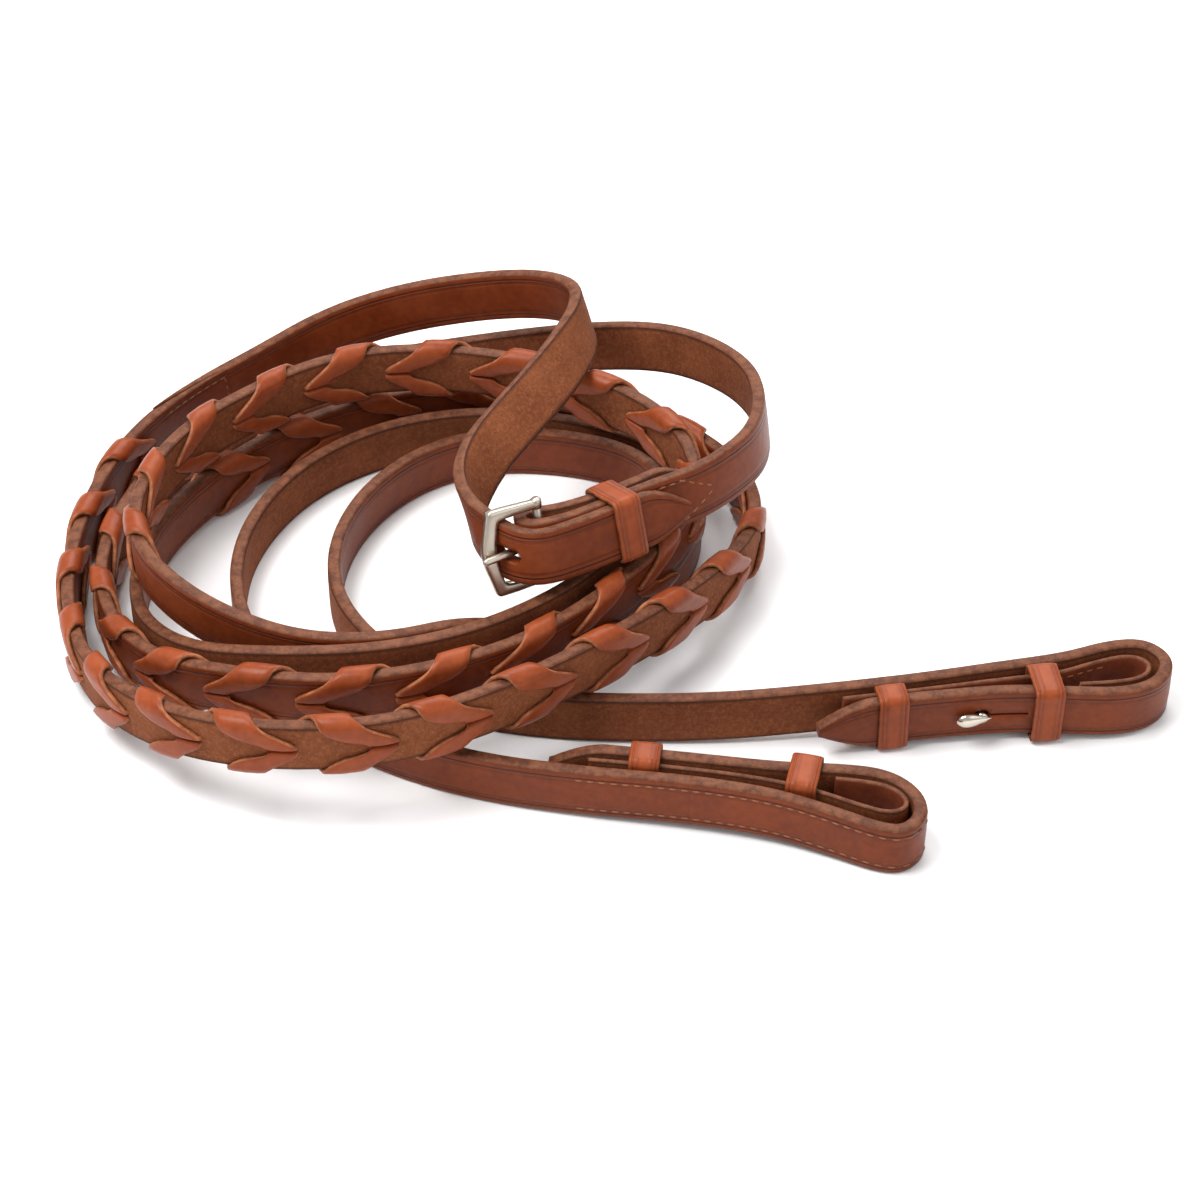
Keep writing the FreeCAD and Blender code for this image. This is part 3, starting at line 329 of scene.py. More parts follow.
def loft(name, rings, ring_uvs, sides, materials, closed=False):
    """Skin over rings of points. sides are the material numbers of the strips between neighbouring
    ring points. ring_uvs holds each ring's place along, then each strip's start and end across.
    """
    count = len(rings[0])
    verts = [point for ring in rings for point in ring]
    faces, uvs, mats = [], [], []
    steps = len(rings) if closed else len(rings) - 1
    for i in range(steps):
        nxt = (i + 1) % len(rings)
        u0, u1 = ring_uvs[0][i] * MM, ring_uvs[0][i + 1] * MM
        for j in range(count):
            k = (j + 1) % count
            faces.append((i * count + j, i * count + k, nxt * count + k, nxt * count + j))
            v0, v1 = ring_uvs[1][j] * MM, ring_uvs[2][j] * MM
            uvs.append([(u0, v0), (u0, v1), (u1, v1), (u1, v0)])
            mats.append(sides[j])
    if not closed:
        end = len(verts)
        verts += rings[0] + rings[-1]
        faces.append(tuple(reversed(range(end, end + count))))
        faces.append(tuple(range(end + count, end + 2 * count)))
        for _ in range(2):
            uvs.append([(0.0, 0.0)] * count)
            mats.append(EDGE)
    return mesh_object(name, verts, faces, uvs, mats, materials)


def strap_section(half, low, high, crown):
    """Ring of (height, aside) round a strap's cross-section with rounded corners."""
    thick = high - low
    radius = min(0.95, thick * 0.42, half * 0.4)
    ring = []
    corners = [(half - radius, high - radius, 0), (half - radius, low + radius, 1),
               (-half + radius, low + radius, 2), (-half + radius, high - radius, 3)]
    inner = half - radius
    for height, aside, quarter in corners:
        turns = [math.pi / 2 - quarter * math.pi / 2 - step * math.pi / 6 for step in range(4)]
        for turn in turns:
            ring.append((height + math.cos(turn) * radius, aside + math.sin(turn) * radius))
        if quarter == 1:
            ring += [(inner * share, low - crown * (1 - share * share)) for share in DOME_AT]
        if quarter == 3:
            ring += [(-inner * share, high + crown * (1 - share * share)) for share in DOME_AT]
    return ring


def strap_sides(left, right):
    """Material numbers of the strips of a strap section."""
    def half_way(first, second):
        return [first] + [EDGE] * 5 + [second] * 7

    return half_way(left, right) + half_way(right, left)


def strap(name, route, start, end, left, right, materials, half=None, low=None, high=None,
          crown=0.12, step=2.2, extra=()):
    """A strap with rounded edges along a route between two distances. half, low and high give its
    half width and its two faces at a distance; extra are distances that need their own ring."""
    half = half or (lambda along: HALF_WIDTH)
    low = low or (lambda along: -HALF_THICK)
    high = high or (lambda along: HALF_THICK)
    count = max(2, int((end - start) / step))
    stations = sorted({start + (end - start) * i / count for i in range(count + 1)} | set(extra))
    rings = []
    for along in stations:
        section = strap_section(half(along), low(along), high(along), crown)
        rings.append([route.point(along, height, aside) for height, aside in section])
    across = [height for height, _ in strap_section(HALF_WIDTH, -HALF_THICK, HALF_THICK, crown)]
    after = across[1:] + across[:1]
    return loft(name, rings, (stations, across, after), strap_sides(left, right), materials)


def pointed(end, length, tip):
    """Half width of a strap that narrows to a round point at distance end."""
    def half_width(along):
        part = min(abs(end - along) / length, 1.0)
        return tip + (HALF_WIDTH - tip) * (0.65 * math.sin(part * math.pi / 2) + 0.35 * part ** 0.9)

    return half_width


def cut(obj, cutter):
    """Take a cutter out of a mesh and throw the cutter away."""
    modifier = obj.modifiers.new("cut", "BOOLEAN")
    modifier.operation = "DIFFERENCE"
    modifier.solver = "EXACT"
    modifier.object = cutter
    depsgraph = bpy.context.evaluated_depsgraph_get()
    result = bpy.data.meshes.new_from_object(obj.evaluated_get(depsgraph))
    obj.modifiers.clear()
    obj.data = result
    bpy.data.objects.remove(cutter)


def slot_cutter(matrix, long, tall, deep=10.0):
    """A slot with round ends: long on X, tall on Z, through on Y, in millimetres."""
    radius = tall / 2
    reach = max(long / 2 - radius, 0.0)
    outline = []
    for side, base in ((1, 0), (-1, math.pi)):
        for step in range(9):
            turn = base - math.pi / 2 + step * math.pi / 8
            outline.append((side * reach + math.cos(turn) * radius, math.sin(turn) * radius))
    count = len(outline)
    verts = [matrix @ Vector((x, y, z)) for y in (-deep / 2, deep / 2) for x, z in outline]
    faces = [tuple(range(count)), tuple(reversed(range(count, 2 * count)))]
    faces += [(j, count + j, count + (j + 1) % count, (j + 1) % count) for j in range(count)]
    mesh = bpy.data.meshes.new("cutter")
    mesh.from_pydata([tuple(v * MM) for v in verts], [], faces)
    mesh.update()
    obj = bpy.data.objects.new("cutter", mesh)
    bpy.context.scene.collection.objects.link(obj)
    return obj


# ---------------------------------------------------------------- shader helpers
class Nodes:
    """Short calls for building one material's node tree."""

    def __init__(self, name):
        self.material = bpy.data.materials.new(name)
        self.material.use_nodes = True
        self.tree = self.material.node_tree
        self.shader = self.tree.nodes["Principled BSDF"]

    def add(self, kind, **settings):
        node = self.tree.nodes.new(kind)
        for key, value in settings.items():
            setattr(node, key, value)
        return node

    def feed(self, socket, value):
        """Join an output to a socket, or set the socket to a plain value."""
        if isinstance(value, bpy.types.NodeSocket):
            self.tree.links.new(value, socket)
        else:
            socket.default_value = value

    def math(self, operation, *values):
        node = self.add("ShaderNodeMath", operation=operation)
        for socket, value in zip(node.inputs, values):
            self.feed(socket, value)
        return node.outputs[0]

    def noise(self, vector, scale, detail=3.0, rough=0.5, distortion=0.0):
        node = self.add("ShaderNodeTexNoise")
        self.feed(node.inputs["Vector"], vector)
        node.inputs["Scale"].default_value = scale
        node.inputs["Detail"].default_value = detail
        node.inputs["Roughness"].default_value = rough
        node.inputs["Distortion"].default_value = distortion
        return node.outputs[0]

    def cells(self, vector, scale):
        node = self.add("ShaderNodeTexVoronoi")
        self.feed(node.inputs["Vector"], vector)
        node.inputs["Scale"].default_value = scale
        return node.outputs["Distance"]

    def spread(self, value, low, high, to_low=0.0, to_high=1.0):
        node = self.add("ShaderNodeMapRange", interpolation_type="SMOOTHSTEP")
        for socket, number in zip(node.inputs, (value, low, high, to_low, to_high)):
            self.feed(socket, number)
        return node.outputs[0]

    def mix(self, share, first, second):
        node = self.add("ShaderNodeMix", data_type="RGBA")
        self.feed(node.inputs[0], share)
        self.feed(node.inputs[6], first)
        self.feed(node.inputs[7], second)
        return node.outputs[2]

    def bump(self, height, distance, strength):
        node = self.add("ShaderNodeBump")
        node.inputs["Strength"].default_value = strength
        node.inputs["Distance"].default_value = distance
        self.feed(node.inputs["Height"], height)
        return node.outputs[0]

    def place(self):
        return self.add("ShaderNodeTexCoord").outputs["Object"]

    def along_across(self):
        """The UV's two parts: metres along the strap and metres across it."""
        split = self.add("ShaderNodeSeparateXYZ")
        self.feed(split.inputs[0], self.add("ShaderNodeTexCoord").outputs["UV"])
        return split.outputs[0], split.outputs[1]

    def finish(self, color, roughness, normal, specular=0.5):
        self.feed(self.shader.inputs["Base Color"], color)
        self.feed(self.shader.inputs["Roughness"], roughness)
        self.feed(self.shader.inputs["Specular IOR Level"], specular)
        if normal is not None:
            self.feed(self.shader.inputs["Normal"], normal)
        return self.material


def rgb(red, green, blue):
    """A linear colour from 0 to 255 screen values."""
    def linear(value):
        value /= 255
        return value / 12.92 if value <= 0.04045 else ((value + 0.055) / 1.055) ** 2.4

    return (linear(red), linear(green), linear(blue), 1.0)


def grain_leather(name, dark, light, crease=None, roughness=0.4, pressed=0.62):
    """Smooth dyed leather: soft mottling, pores, and a pressed line near each edge in painted
    shade.
    """
    n = Nodes(name)
    place = n.place()
    mottle = n.noise(place, 55, 4, 0.6)
    fine = n.noise(place, 420, 4, 0.6)
    pores = n.cells(place, 1500)
    tone = n.math("MULTIPLY_ADD", fine, 0.45, n.math("MULTIPLY", mottle, 0.55))
    color = n.mix(n.spread(tone, 0.3, 0.7), dark, light)
    height = n.math("MULTIPLY_ADD", pores, 0.35, fine)
    if crease is not None:
        off = n.math("ABSOLUTE", n.along_across()[1])
        away = n.math("ABSOLUTE", n.math("SUBTRACT", off, crease))
        line = n.spread(away, 0.0001, 0.00042, 1.0, 0.0)
        beside = n.math("ABSOLUTE", n.math("SUBTRACT", away, 0.0011))
        groove = n.math("MULTIPLY", n.spread(beside, 0.0001, 0.0009, 1.0, 0.0),
                        n.math("LESS_THAN", off, crease))
        height = n.math("MULTIPLY_ADD", groove, -2.5, height)
        # Painted shade: the groove just inside each pressed line and the line itself are darkened;
        # the strip from the line out to the edge is darkened too.
        color = n.mix(n.math("MULTIPLY", groove, 0.22), color, (0.03, 0.01, 0.005, 1))
        color = n.mix(n.math("MULTIPLY", line, pressed), color, (0.012, 0.004, 0.003, 1))
        rim = n.spread(off, crease + 0.0009, crease + 0.0022)
        color = n.mix(n.math("MULTIPLY", rim, 0.45), color, (0.03, 0.010, 0.006, 1))
        height = n.math("MULTIPLY_ADD", line, -6.0, height)
    rough = n.spread(mottle, 0.3, 0.7, roughness - 0.05, roughness + 0.08)
    return n.finish(color, rough, n.bump(height, 0.00008, 0.55), 0.17)


def flesh_leather(name, dark, light, fleck):
    """The napped side: dense light flecks over brown, dark towards the edges."""
    n = Nodes(name)
    place = n.place()
    broad = n.noise(place, 70, 4, 0.65)
    fibre = n.noise(place, 900, 5, 0.75, 0.6)
    specks = n.noise(place, 1700, 2, 0.6)
    color = n.mix(n.spread(broad, 0.25, 0.75), dark, light)
    color = n.mix(n.math("MULTIPLY", n.spread(fibre, 0.42, 0.68), 0.5), color, fleck)
    dots = n.math("MULTIPLY", n.spread(specks, 0.55, 0.72), 0.3)
    color = n.mix(dots, color, (0.02, 0.009, 0.006, 1))
    _, across = n.along_across()
    rim = n.spread(n.math("ABSOLUTE", across), 0.0061, 0.0074)
    color = n.mix(n.math("MULTIPLY", rim, 0.75), color, (0.022, 0.010, 0.008, 1))
    return n.finish(color, 0.82, n.bump(n.math("ADD", fibre, specks), 0.00014, 0.7), 0.12)


def edge_leather(name, dark, light):
    """A cut and burnished edge with its fibre layers just showing."""
    n = Nodes(name)
    place = n.place()
    broad = n.noise(place, 320, 4, 0.7)
    fibre = n.noise(place, 1100, 4, 0.7)
    color = n.mix(n.spread(broad, 0.35, 0.65), dark, light)
    layers = n.math("MULTIPLY", n.spread(fibre, 0.48, 0.7), 0.22)
    color = n.mix(layers, color, (0.26, 0.13, 0.07, 1))
    return n.finish(color, 0.55, n.bump(fibre, 0.0001, 0.5), 0.18)


def thread(name, color):
    """Waxed linen thread with its twist."""
    n = Nodes(name)
    along, across = n.along_across()
    wind = n.math("MULTIPLY_ADD", across, 4000.0, n.math("MULTIPLY", along, 9000.0))
    shade = n.spread(n.math("SINE", wind), -1.0, 1.0, 0.0, 0.5)
    tint = n.mix(shade, color, (0.10, 0.04, 0.02, 1))
    return n.finish(tint, 0.6, None, 0.4)


def metal(name, color, roughness):
    """Nickel-plated metal with faint handling marks."""
    n = Nodes(name)
    place = n.place()
    marks = n.noise(place, 260, 5, 0.6)
    rough = n.spread(marks, 0.3, 0.7, roughness - 0.04, roughness + 0.07)
    n.feed(n.shader.inputs["Metallic"], 1.0)
    return n.finish(color, rough, n.bump(n.noise(place, 90, 2), 0.0001, 0.1))


def make_materials():
    dark, light = rgb(98, 40, 15), rgb(122, 55, 24)
    return {
        "grain": grain_leather("strap_grain", dark, light, 0.0060, 0.42),
        "flesh": flesh_leather("strap_flesh", rgb(104, 54, 30), rgb(124, 69, 41), rgb(154, 97, 64)),
        "edge": edge_leather("strap_edge", rgb(80, 43, 27), rgb(112, 66, 43)),
        "lace": grain_leather("lace_grain", rgb(120, 52, 23), rgb(144, 68, 34), None, 0.34),
        "lace_back": flesh_leather("lace_flesh", rgb(104, 52, 30), rgb(130, 72, 44),
                                   rgb(156, 96, 62)),
        "lace_edge": edge_leather("lace_edge", rgb(118, 66, 40), rgb(160, 98, 64)),
        # The keeper's last number sets how dark the painted shade in its pressed line is.
        "keeper": grain_leather("keeper_grain", rgb(128, 57, 26), rgb(150, 71, 36), 0.0031, 0.36,
                                0.3),
        "keeper_edge": edge_leather("keeper_edge", rgb(74, 36, 21), rgb(128, 74, 48)),
        "liner": grain_leather("liner_grain", rgb(96, 44, 25), rgb(124, 62, 38), None, 0.5),
        "thread": thread("linen_thread", rgb(150, 88, 50)),
        "steel": metal("nickel_plate", (0.56, 0.49, 0.41, 1), 0.3),
        "stud": metal("polished_nickel", (0.58, 0.52, 0.45, 1), 0.2),
    }


# ---------------------------------------------------------------- leather pieces
def scarf(start, side, upper):
    """Lower or upper face of a strap skived to a feather edge over a lap."""
    gap = 0.1

    def face(along):
        part = min(max((along - start) / SCARF, 0.0), 1.0)
        line = side * (HALF_THICK - FEATHER - part * (2 * HALF_THICK - 2 * FEATHER))
        if upper and along > start + SCARF:
            return -side * HALF_THICK
        if not upper and along < start:
            return side * HALF_THICK
        return line + (gap / 2 if upper else -gap / 2) * side

    return face


def faces_of(half):
    """Material numbers of a strap's left and right face."""
    return (GRAIN, FLESH) if half.grain > 0 else (FLESH, GRAIN)


def strap_materials(looks):
    return [looks["grain"], looks["flesh"], looks["edge"]]


def hand_strap(half, looks, tip):
    """The plain strap from the buckle to its skived end under the laced grip."""
    other = -half.grain * HALF_THICK
    skived = scarf(half.lap, half.grain, False)
    low, high = (skived, lambda along: other) if half.grain < 0 else (lambda along: other, skived)
    obj = strap(half.name("hand_strap_look"), half.route, 0.0, half.lap_end, *faces_of(half),
                strap_materials(looks), pointed(0.0, HAND_POINT, tip), low, high,
                extra=[half.lap - 0.2, half.lap, 0.4, 1, 1.8, 3, 4])
    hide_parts(half.name("hand_strap"))
    return obj


def main_strap(half, looks):
    """The laced grip and plain strap, the bend at the bit end, and the bit end itself."""
    side = half.grain * HALF_THICK
    skived = scarf(half.lap, half.grain, True)
    low, high = (skived, lambda along: side) if half.grain > 0 else (lambda along: side, skived)
    materials = strap_materials(looks)
    faces = faces_of(half)
    near, far = half.hinge - BEND_PIECE, half.hinge + BEND_PIECE
    main = strap(half.name("main_strap_look"), half.route, half.lap, near, *faces, materials,
                 None, low, high, extra=[half.lap_end, half.lap_end + 0.2])
    bend = strap(half.name("bend_look"), half.route, near, far, *faces, materials, step=1.2)
    tip = half.route.length
    end = strap(half.name("end_strap_look"), half.route, far, tip, *faces, materials,
                pointed(tip, END_POINT, 1.5), step=1.4,
                extra=[tip - 0.3, tip - 0.8, tip - 1.6, tip - 3])
    cut(end, slot_cutter(half.route.matrix(half.stud), *STUD_HOLE))
    cut(end, slot_cutter(half.route.matrix(half.stud - STUD_SLIT_BACK), *STUD_SLIT))
    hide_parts(half.name("main_strap"))
    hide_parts(half.name("end_strap"))
    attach(main, "reins")
    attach(end, half.body)
    bend_with(bend, half)


def bend_with(obj, half):
    """Bake a piece's place into its mesh where the strap bends between the coil and the bit end."""
    start, stop = (half.route.point(half.hinge + way, 0, 0) * MM
                   for way in (-BEND_TRAVEL, BEND_TRAVEL))
    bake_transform(obj)


def smooth_rows(rows, steps):
    """Catmull-Rom through rows of numbers."""
    found = []
    for i in range(len(rows) - 1):
        a, b, c, d = rows[max(i - 1, 0)], rows[i], rows[i + 1], rows[min(i + 2, len(rows) - 1)]
        for step in range(steps):
            t = step / steps
            found.append(tuple(
                0.5 * (2 * q + (r - p) * t + (2 * p - 5 * q + 4 * r - s) * t * t
                       + (3 * q - p - 3 * r + s) * t ** 3)
                for p, q, r, s in zip(a, b, c, d)))
    found.append(tuple(rows[-1]))
    return found


def lace_turn():
    """One turn round the web: share of the pitch, inner and outer height and aside, half length."""
    face = HALF_THICK + LACE_GAP
    low, shoulder, top = 1.6, 6.3, 8.45
    out = [(0.015, low, face, low - 1.05, face + 0.9, 4.0),
           (0.07, low + 0.8, face, low + 0.4, face + 1.3, 4.6),
           (0.20, 3.6, face, 3.6, face + LACE_THICK, 6.0),
           (0.32, 5.4, face, 5.4, face + LACE_THICK, 6.2)]
    fold = ((0.385, 8, 6.0), (0.425, 32, 5.7), (0.455, 54, 5.4), (0.48, 74, 5.2))
    for share, degrees, reach in fold:
        turn = math.radians(degrees)
        height = shoulder + (top - shoulder) * math.sin(turn) ** 0.9
        aside = face * math.cos(turn)
        out.append((share, height, aside, height + math.sin(turn) * LACE_THICK,
                    aside + math.cos(turn) * LACE_THICK, reach))
    ridge = [(0.5, top, 0.0, top + LACE_THICK, 0.0, 5.2)]
    back = [(1 - share, iu, -iw, ou, -ow, reach) for share, iu, iw, ou, ow, reach in reversed(out)]
    return [(0.0, low, 0.0, low - LACE_THICK, 0.0, 3.9), *out, *ridge, *back]


def lace(half, looks, name, side):
    """A flat lace plaited through the slits and over one edge of the grip."""
    rows = []
    turn = lace_turn()
    for slit in half.slits[:-1]:
        rows += [(slit + share * SLIT_PITCH, *rest) for share, *rest in turn]
    rows.append((half.slits[-1], *turn[0][1:]))
    rows = smooth_rows(rows, 3)
    # place across the lace and share of the way from its inner to its outer face
    ring = [(-0.93, 0.94), (-0.6, 1.04), (0.0, 1.1), (0.6, 1.04), (0.93, 0.94), (1.0, 0.5),
            (0.93, 0.05), (0.0, 0.0), (-0.93, 0.05), (-1.0, 0.5)]
    sides = [0, 0, 0, 0, 2, 2, 1, 1, 2, 2]
    rings, travel = [], []
    distance = 0.0
    before = None
    for along, iu, iw, ou, ow, reach in rows:
        points = []
        for across, depth in ring:
            height = side * (iu + (ou - iu) * depth)
            aside = half.grain * (iw + (ow - iw) * depth)
            points.append(half.route.point(along + across * reach, height, aside))
        middle = points[2]
        if before is not None:
            distance += (middle - before).length
        before = middle
        rings.append(points)
        travel.append(distance)
    across = [place * 5 for place, _ in ring]
    obj = loft(half.name(name + "_look"), rings, (travel, across, across[1:] + across[:1]), sides,
               [looks["lace"], looks["lace_back"], looks["lace_edge"]])
    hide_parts(half.name(name))
    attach(obj, "reins")


def liner(half, looks):
    """The thin lining of the bit loop."""
    left, right = (GRAIN, FLESH) if half.outward < 0 else (FLESH, GRAIN)
    along, _ = stud_in_liner(half)
    obj = strap(half.name("end_liner_look"), half.liner, 0.0, half.liner.length, left, right,
                [looks["liner"], looks["flesh"], looks["edge"]], lambda _: LINER_HALF_WIDTH,
                lambda _: -LINER_HALF_THICK, lambda _: LINER_HALF_THICK, crown=0.05, step=1.2)
    cut(obj, slot_cutter(half.liner.matrix(along), *LINER_HOLE))
    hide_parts(half.name("end_liner"))
    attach(obj, half.body)


def stud_in_liner(half):
    """Where the stud's axis meets the lining, and its depth behind the billet."""
    here, forward, _, left = half.route.frame(half.stud)
    near = half.liner.nearest(here - CENTRE)
    places = [near + step * 0.1 for step in range(-40, 41)]
    along = min(places, key=lambda place: abs((half.liner.point(place, 0, 0) - here).dot(forward)))
    return along, abs((half.liner.point(along, 0, 0) - here).dot(left))


# ---------------------------------------------------------------- keepers
def keeper(name, node, matrix, deep, looks, body):
    """A leather loop with rounded corners, slightly domed, its edges pressed with a line in painted
    shade.
    """
    outline = []
    wall, half_width, corner = KEEPER_WALL, KEEPER_WIDTH / 2, 1.5
    half_deep, half_tall = deep / 2 + wall / 2, KEEPER_TALL / 2 + wall / 2
    for quarter, (sy, sz) in enumerate(((1, 1), (-1, 1), (-1, -1), (1, -1))):
        centre_y, centre_z = sy * (half_deep - corner), sz * (half_tall - corner)
        for step in range(7):
            turn = (quarter * 90 + step * 15) * math.pi / 180
            outline.append((centre_y + math.cos(turn) * corner, centre_z + math.sin(turn) * corner,
                            math.cos(turn), math.sin(turn)))
    dense = []
    for i, first in enumerate(outline):
        second = outline[(i + 1) % len(outline)]
        parts = 5 if math.dist(first[:2], second[:2]) > 2 else 1
        dense += [mix(first, second, k / parts) for k in range(parts)]
    # place across the keeper and share of the wall outwards
    ring = [(-1.0, 0.0), (-0.96, 0.36), (-0.8, 0.5), (-0.4, 0.56), (0.0, 0.58), (0.4, 0.56),
            (0.8, 0.5), (0.96, 0.36), (1.0, 0.0), (0.94, -0.46), (0.0, -0.5), (-0.94, -0.46)]
    sides = [1, 0, 0, 0, 0, 0, 0, 1, 1, 1, 1, 1]
    rings, travel = [], [0.0]
    for i, (y, z, ny, nz) in enumerate(dense):
        size = math.hypot(ny, nz)
        out_y, out_z = ny / size * wall, nz / size * wall
        rings.append([matrix @ Vector((across * half_width, y + out_y * out, z + out_z * out))
                      for across, out in ring])
        follow = dense[(i + 1) % len(dense)]
        travel.append(travel[-1] + math.dist((y, z), follow[:2]))
    across = [place * half_width for place, _ in ring]
    obj = loft(name, rings, (travel, across, across[1:] + across[:1]), sides,
               [looks["keeper"], looks["keeper_edge"]], closed=True)
    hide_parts(node)
    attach(obj, body)


# ---------------------------------------------------------------- threads
def stitches(name, node, places, looks, body):
    """Stitches as short spindles. places are matrices, X along the thread and Y off the face."""
    # share of the length, share of the girth and lift off the face
    shape = [(-0.5, 0.0, -0.35), (-0.38, 0.7, -0.05), (-0.15, 1.0, 0.12), (0.15, 1.0, 0.12),
             (0.38, 0.7, -0.05), (0.5, 0.0, -0.35)]
    verts, faces, uvs = [], [], []
    count = 8
    round_step = 0.0002
    for matrix in places:
        base = len(verts)
        for share, girth, lift in shape:
            for j in range(count):
                turn = 2 * math.pi * j / count
                off = (math.cos(turn) * 0.42 * girth + lift) * STITCH_WIDE
                up = math.sin(turn) * 0.5 * max(girth, 0.05) * STITCH_WIDE
                verts.append(matrix @ Vector((share * STITCH_LONG, off, up)))
        for i in range(len(shape) - 1):
            u0, u1 = (shape[row][0] * STITCH_LONG * MM for row in (i, i + 1))
            low, high = base + i * count, base + (i + 1) * count
            for j in range(count):
                k = (j + 1) % count
                v0, v1 = j * round_step, k * round_step
                faces.append((low + j, low + k, high + k, high + j))
                uvs.append([(u0, v0), (u0, v1), (u1, v1), (u1, v0)])
    obj = mesh_object(name, verts, faces, uvs, [0] * len(faces), [looks["thread"]])
    if node:
        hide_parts(node)
    if body:
        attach(obj, body)
    return obj


def stitch_places(route, start, end, height, aside, slope=0.0, pitch=3.2):
    """Matrices of a row of stitches on a face of a strap."""
    count = int((end - start) / pitch)
    found = []
    for index in range(count + 1):
        along = start + index * pitch
        matrix = route.matrix(along, height + slope * (along - start), aside)
        if aside < 0:
            matrix = matrix @ Matrix.Rotation(math.pi, 4, "X")
        if slope:
            turn = math.atan(slope) * (1 if aside < 0 else -1)
            matrix = matrix @ Matrix.Rotation(turn, 4, "Y")
        found.append(matrix)
    return found


def cross_places(route, along, low, high, aside):
    """Matrices of a row of stitches across a strap."""
    pitch = 3.0
    count = int((high - low) / pitch)
    found = []
    for index in range(count + 1):
        matrix = route.matrix(along, low + index * pitch, aside)
        if aside < 0:
            matrix = matrix @ Matrix.Rotation(math.pi, 4, "X")
        found.append(matrix @ Matrix.Rotation(math.pi / 2, 4, "Y"))
    return found


def all_stitches(half, looks):
    """The rows on the splice and on the bit end of one rein."""
    places = []
    for side in (HALF_THICK, -HALF_THICK):
        for height in (SPLICE_ROW, -SPLICE_ROW):
            places += stitch_places(half.route, half.lap + 2.0, half.lap_end - 2.0, height, side)
    places += cross_places(half.route, half.lap + 1.2, -4.5, 4.5, half.grain * HALF_THICK)
    stitches(half.name("splice_stitches_look"), half.name("splice_stitches"), places, looks,
             "reins")
    lining_end = half.liner.point(0.0, 0, 0) - CENTRE
    start = half.route.nearest(lining_end, half.hinge, half.stud - 50) - END_ROW_LEAD
    loop_keeper = half.stud + END_KEEPERS[half.name("loop_keeper")][0]
    inner = half.liner.nearest(half.route.point(loop_keeper, 0, 0) - CENTRE) + 5.5
    inner_face = -half.outward * (LINER_HALF_THICK + 0.03)
    outer, lining = [], []
    for height in (END_ROW, -END_ROW):
        outer += stitch_places(half.route, start, start + END_ROW_LONG, height,
                               half.outward * HALF_THICK)
        lining += stitch_places(half.liner, inner, inner + LINING_ROW_LONG, height, inner_face)
    rows = stitches(half.name("end_stitches_look"), half.name("end_stitches"), outer, looks, None)
    bend_with(rows, half)
    stitches(half.name("lining_stitches_look"), None, lining, looks, half.body)


def buckle_stitches(half, looks):
    """The pointed seam that closes the turned-back strap."""
    tip = half.route.point(1.0, 0, 0) - CENTRE
    point = half.route.nearest(tip, half.route.knot(BUCKLE_FOLD + 1))
    start, bend = point - 26.0, point - 10.0
    places = []
    for side in (1, -1):
        places += stitch_places(half.route, start, bend, side * BUCKLE_ROW, -HALF_THICK)
        places += stitch_places(half.route, bend, point - 0.5, side * BUCKLE_ROW, -HALF_THICK,
                                slope=-side * 5.0 / 9.5, pitch=2.9)
    stitches("buckle_stitches_look", "buckle_stitches", places, looks, "reins")


# ---------------------------------------------------------------- metal
def buckle_matrix():
    """X from the hinge bar to the front bar, Y up the hinge bar."""
    up = Vector(HINGE_UP).normalized()
    reach = Vector(HINGE_REACH)
    reach = (reach - up * reach.dot(up)).normalized()
    turn = Matrix((reach, up, reach.cross(up))).transposed().to_4x4()
    return Matrix.Translation(Vector(HINGE_AT) + CENTRE) @ turn


def bow(name, matrix, outer, inner, middle, looks):
    """A flat cast bar between two outlines that mirror in Y and meet at the bar's middle."""
    def whole(points, reach):
        return smooth_rows([*points, (reach, 0.0), *[(x, -y) for x, y in reversed(points)]], 5)

    # place across the bar, from -1 inside to 1 outside, and height off its middle plane
    ring = [(-1.0, -0.8), (-0.86, -1.25), (-0.45, -1.5), (0.45, -1.5), (0.86, -1.25), (1.0, -0.8),
            (1.0, 0.8), (0.86, 1.25), (0.45, 1.5), (-0.45, 1.5), (-0.86, 1.25), (-1.0, 0.8)]
    rings = []
    for first, second in zip(whole(inner, middle[1]), whole(outer, middle[0])):
        slim = 0.78 + 0.22 * min(first[0] / 10, 1.0)
        rings.append([matrix @ Vector((*mix(first, second, (across + 1) / 2), height * slim))
                      for across, height in ring])
    travel = list(range(len(rings)))
    zeros = [0.0] * len(ring)
    return loft(name, rings, (travel, zeros, zeros), [0] * len(ring), [looks["steel"]] * 3)


def lathe(name, matrix, profile, material, count, closed=False):
    """A profile of (radius, height) turned about the local Z axis."""
    verts, faces = [], []
    for radius, height in profile:
        for j in range(count):
            turn = 2 * math.pi * j / count
            x, y = math.cos(turn) * radius, math.sin(turn) * radius
            verts.append(matrix @ Vector((x, y, height)))
    steps = len(profile) if closed else len(profile) - 1
    for i in range(steps):
        nxt = (i + 1) % len(profile)
        for j in range(count):
            k = (j + 1) % count
            faces.append((i * count + j, nxt * count + j, nxt * count + k, i * count + k))
    if not closed:
        end = (len(profile) - 1) * count
        faces.append(tuple(range(count)))
        faces.append(tuple(end + j for j in reversed(range(count))))
    uvs = [[(0.0, 0.0)] * len(face) for face in faces]
    return mesh_object(name, verts, faces, uvs, [0] * len(faces), [material])


def along_y(matrix):
    """The same place with local Z laid on Y."""
    return matrix @ Matrix.Rotation(-math.pi / 2, 4, "X")


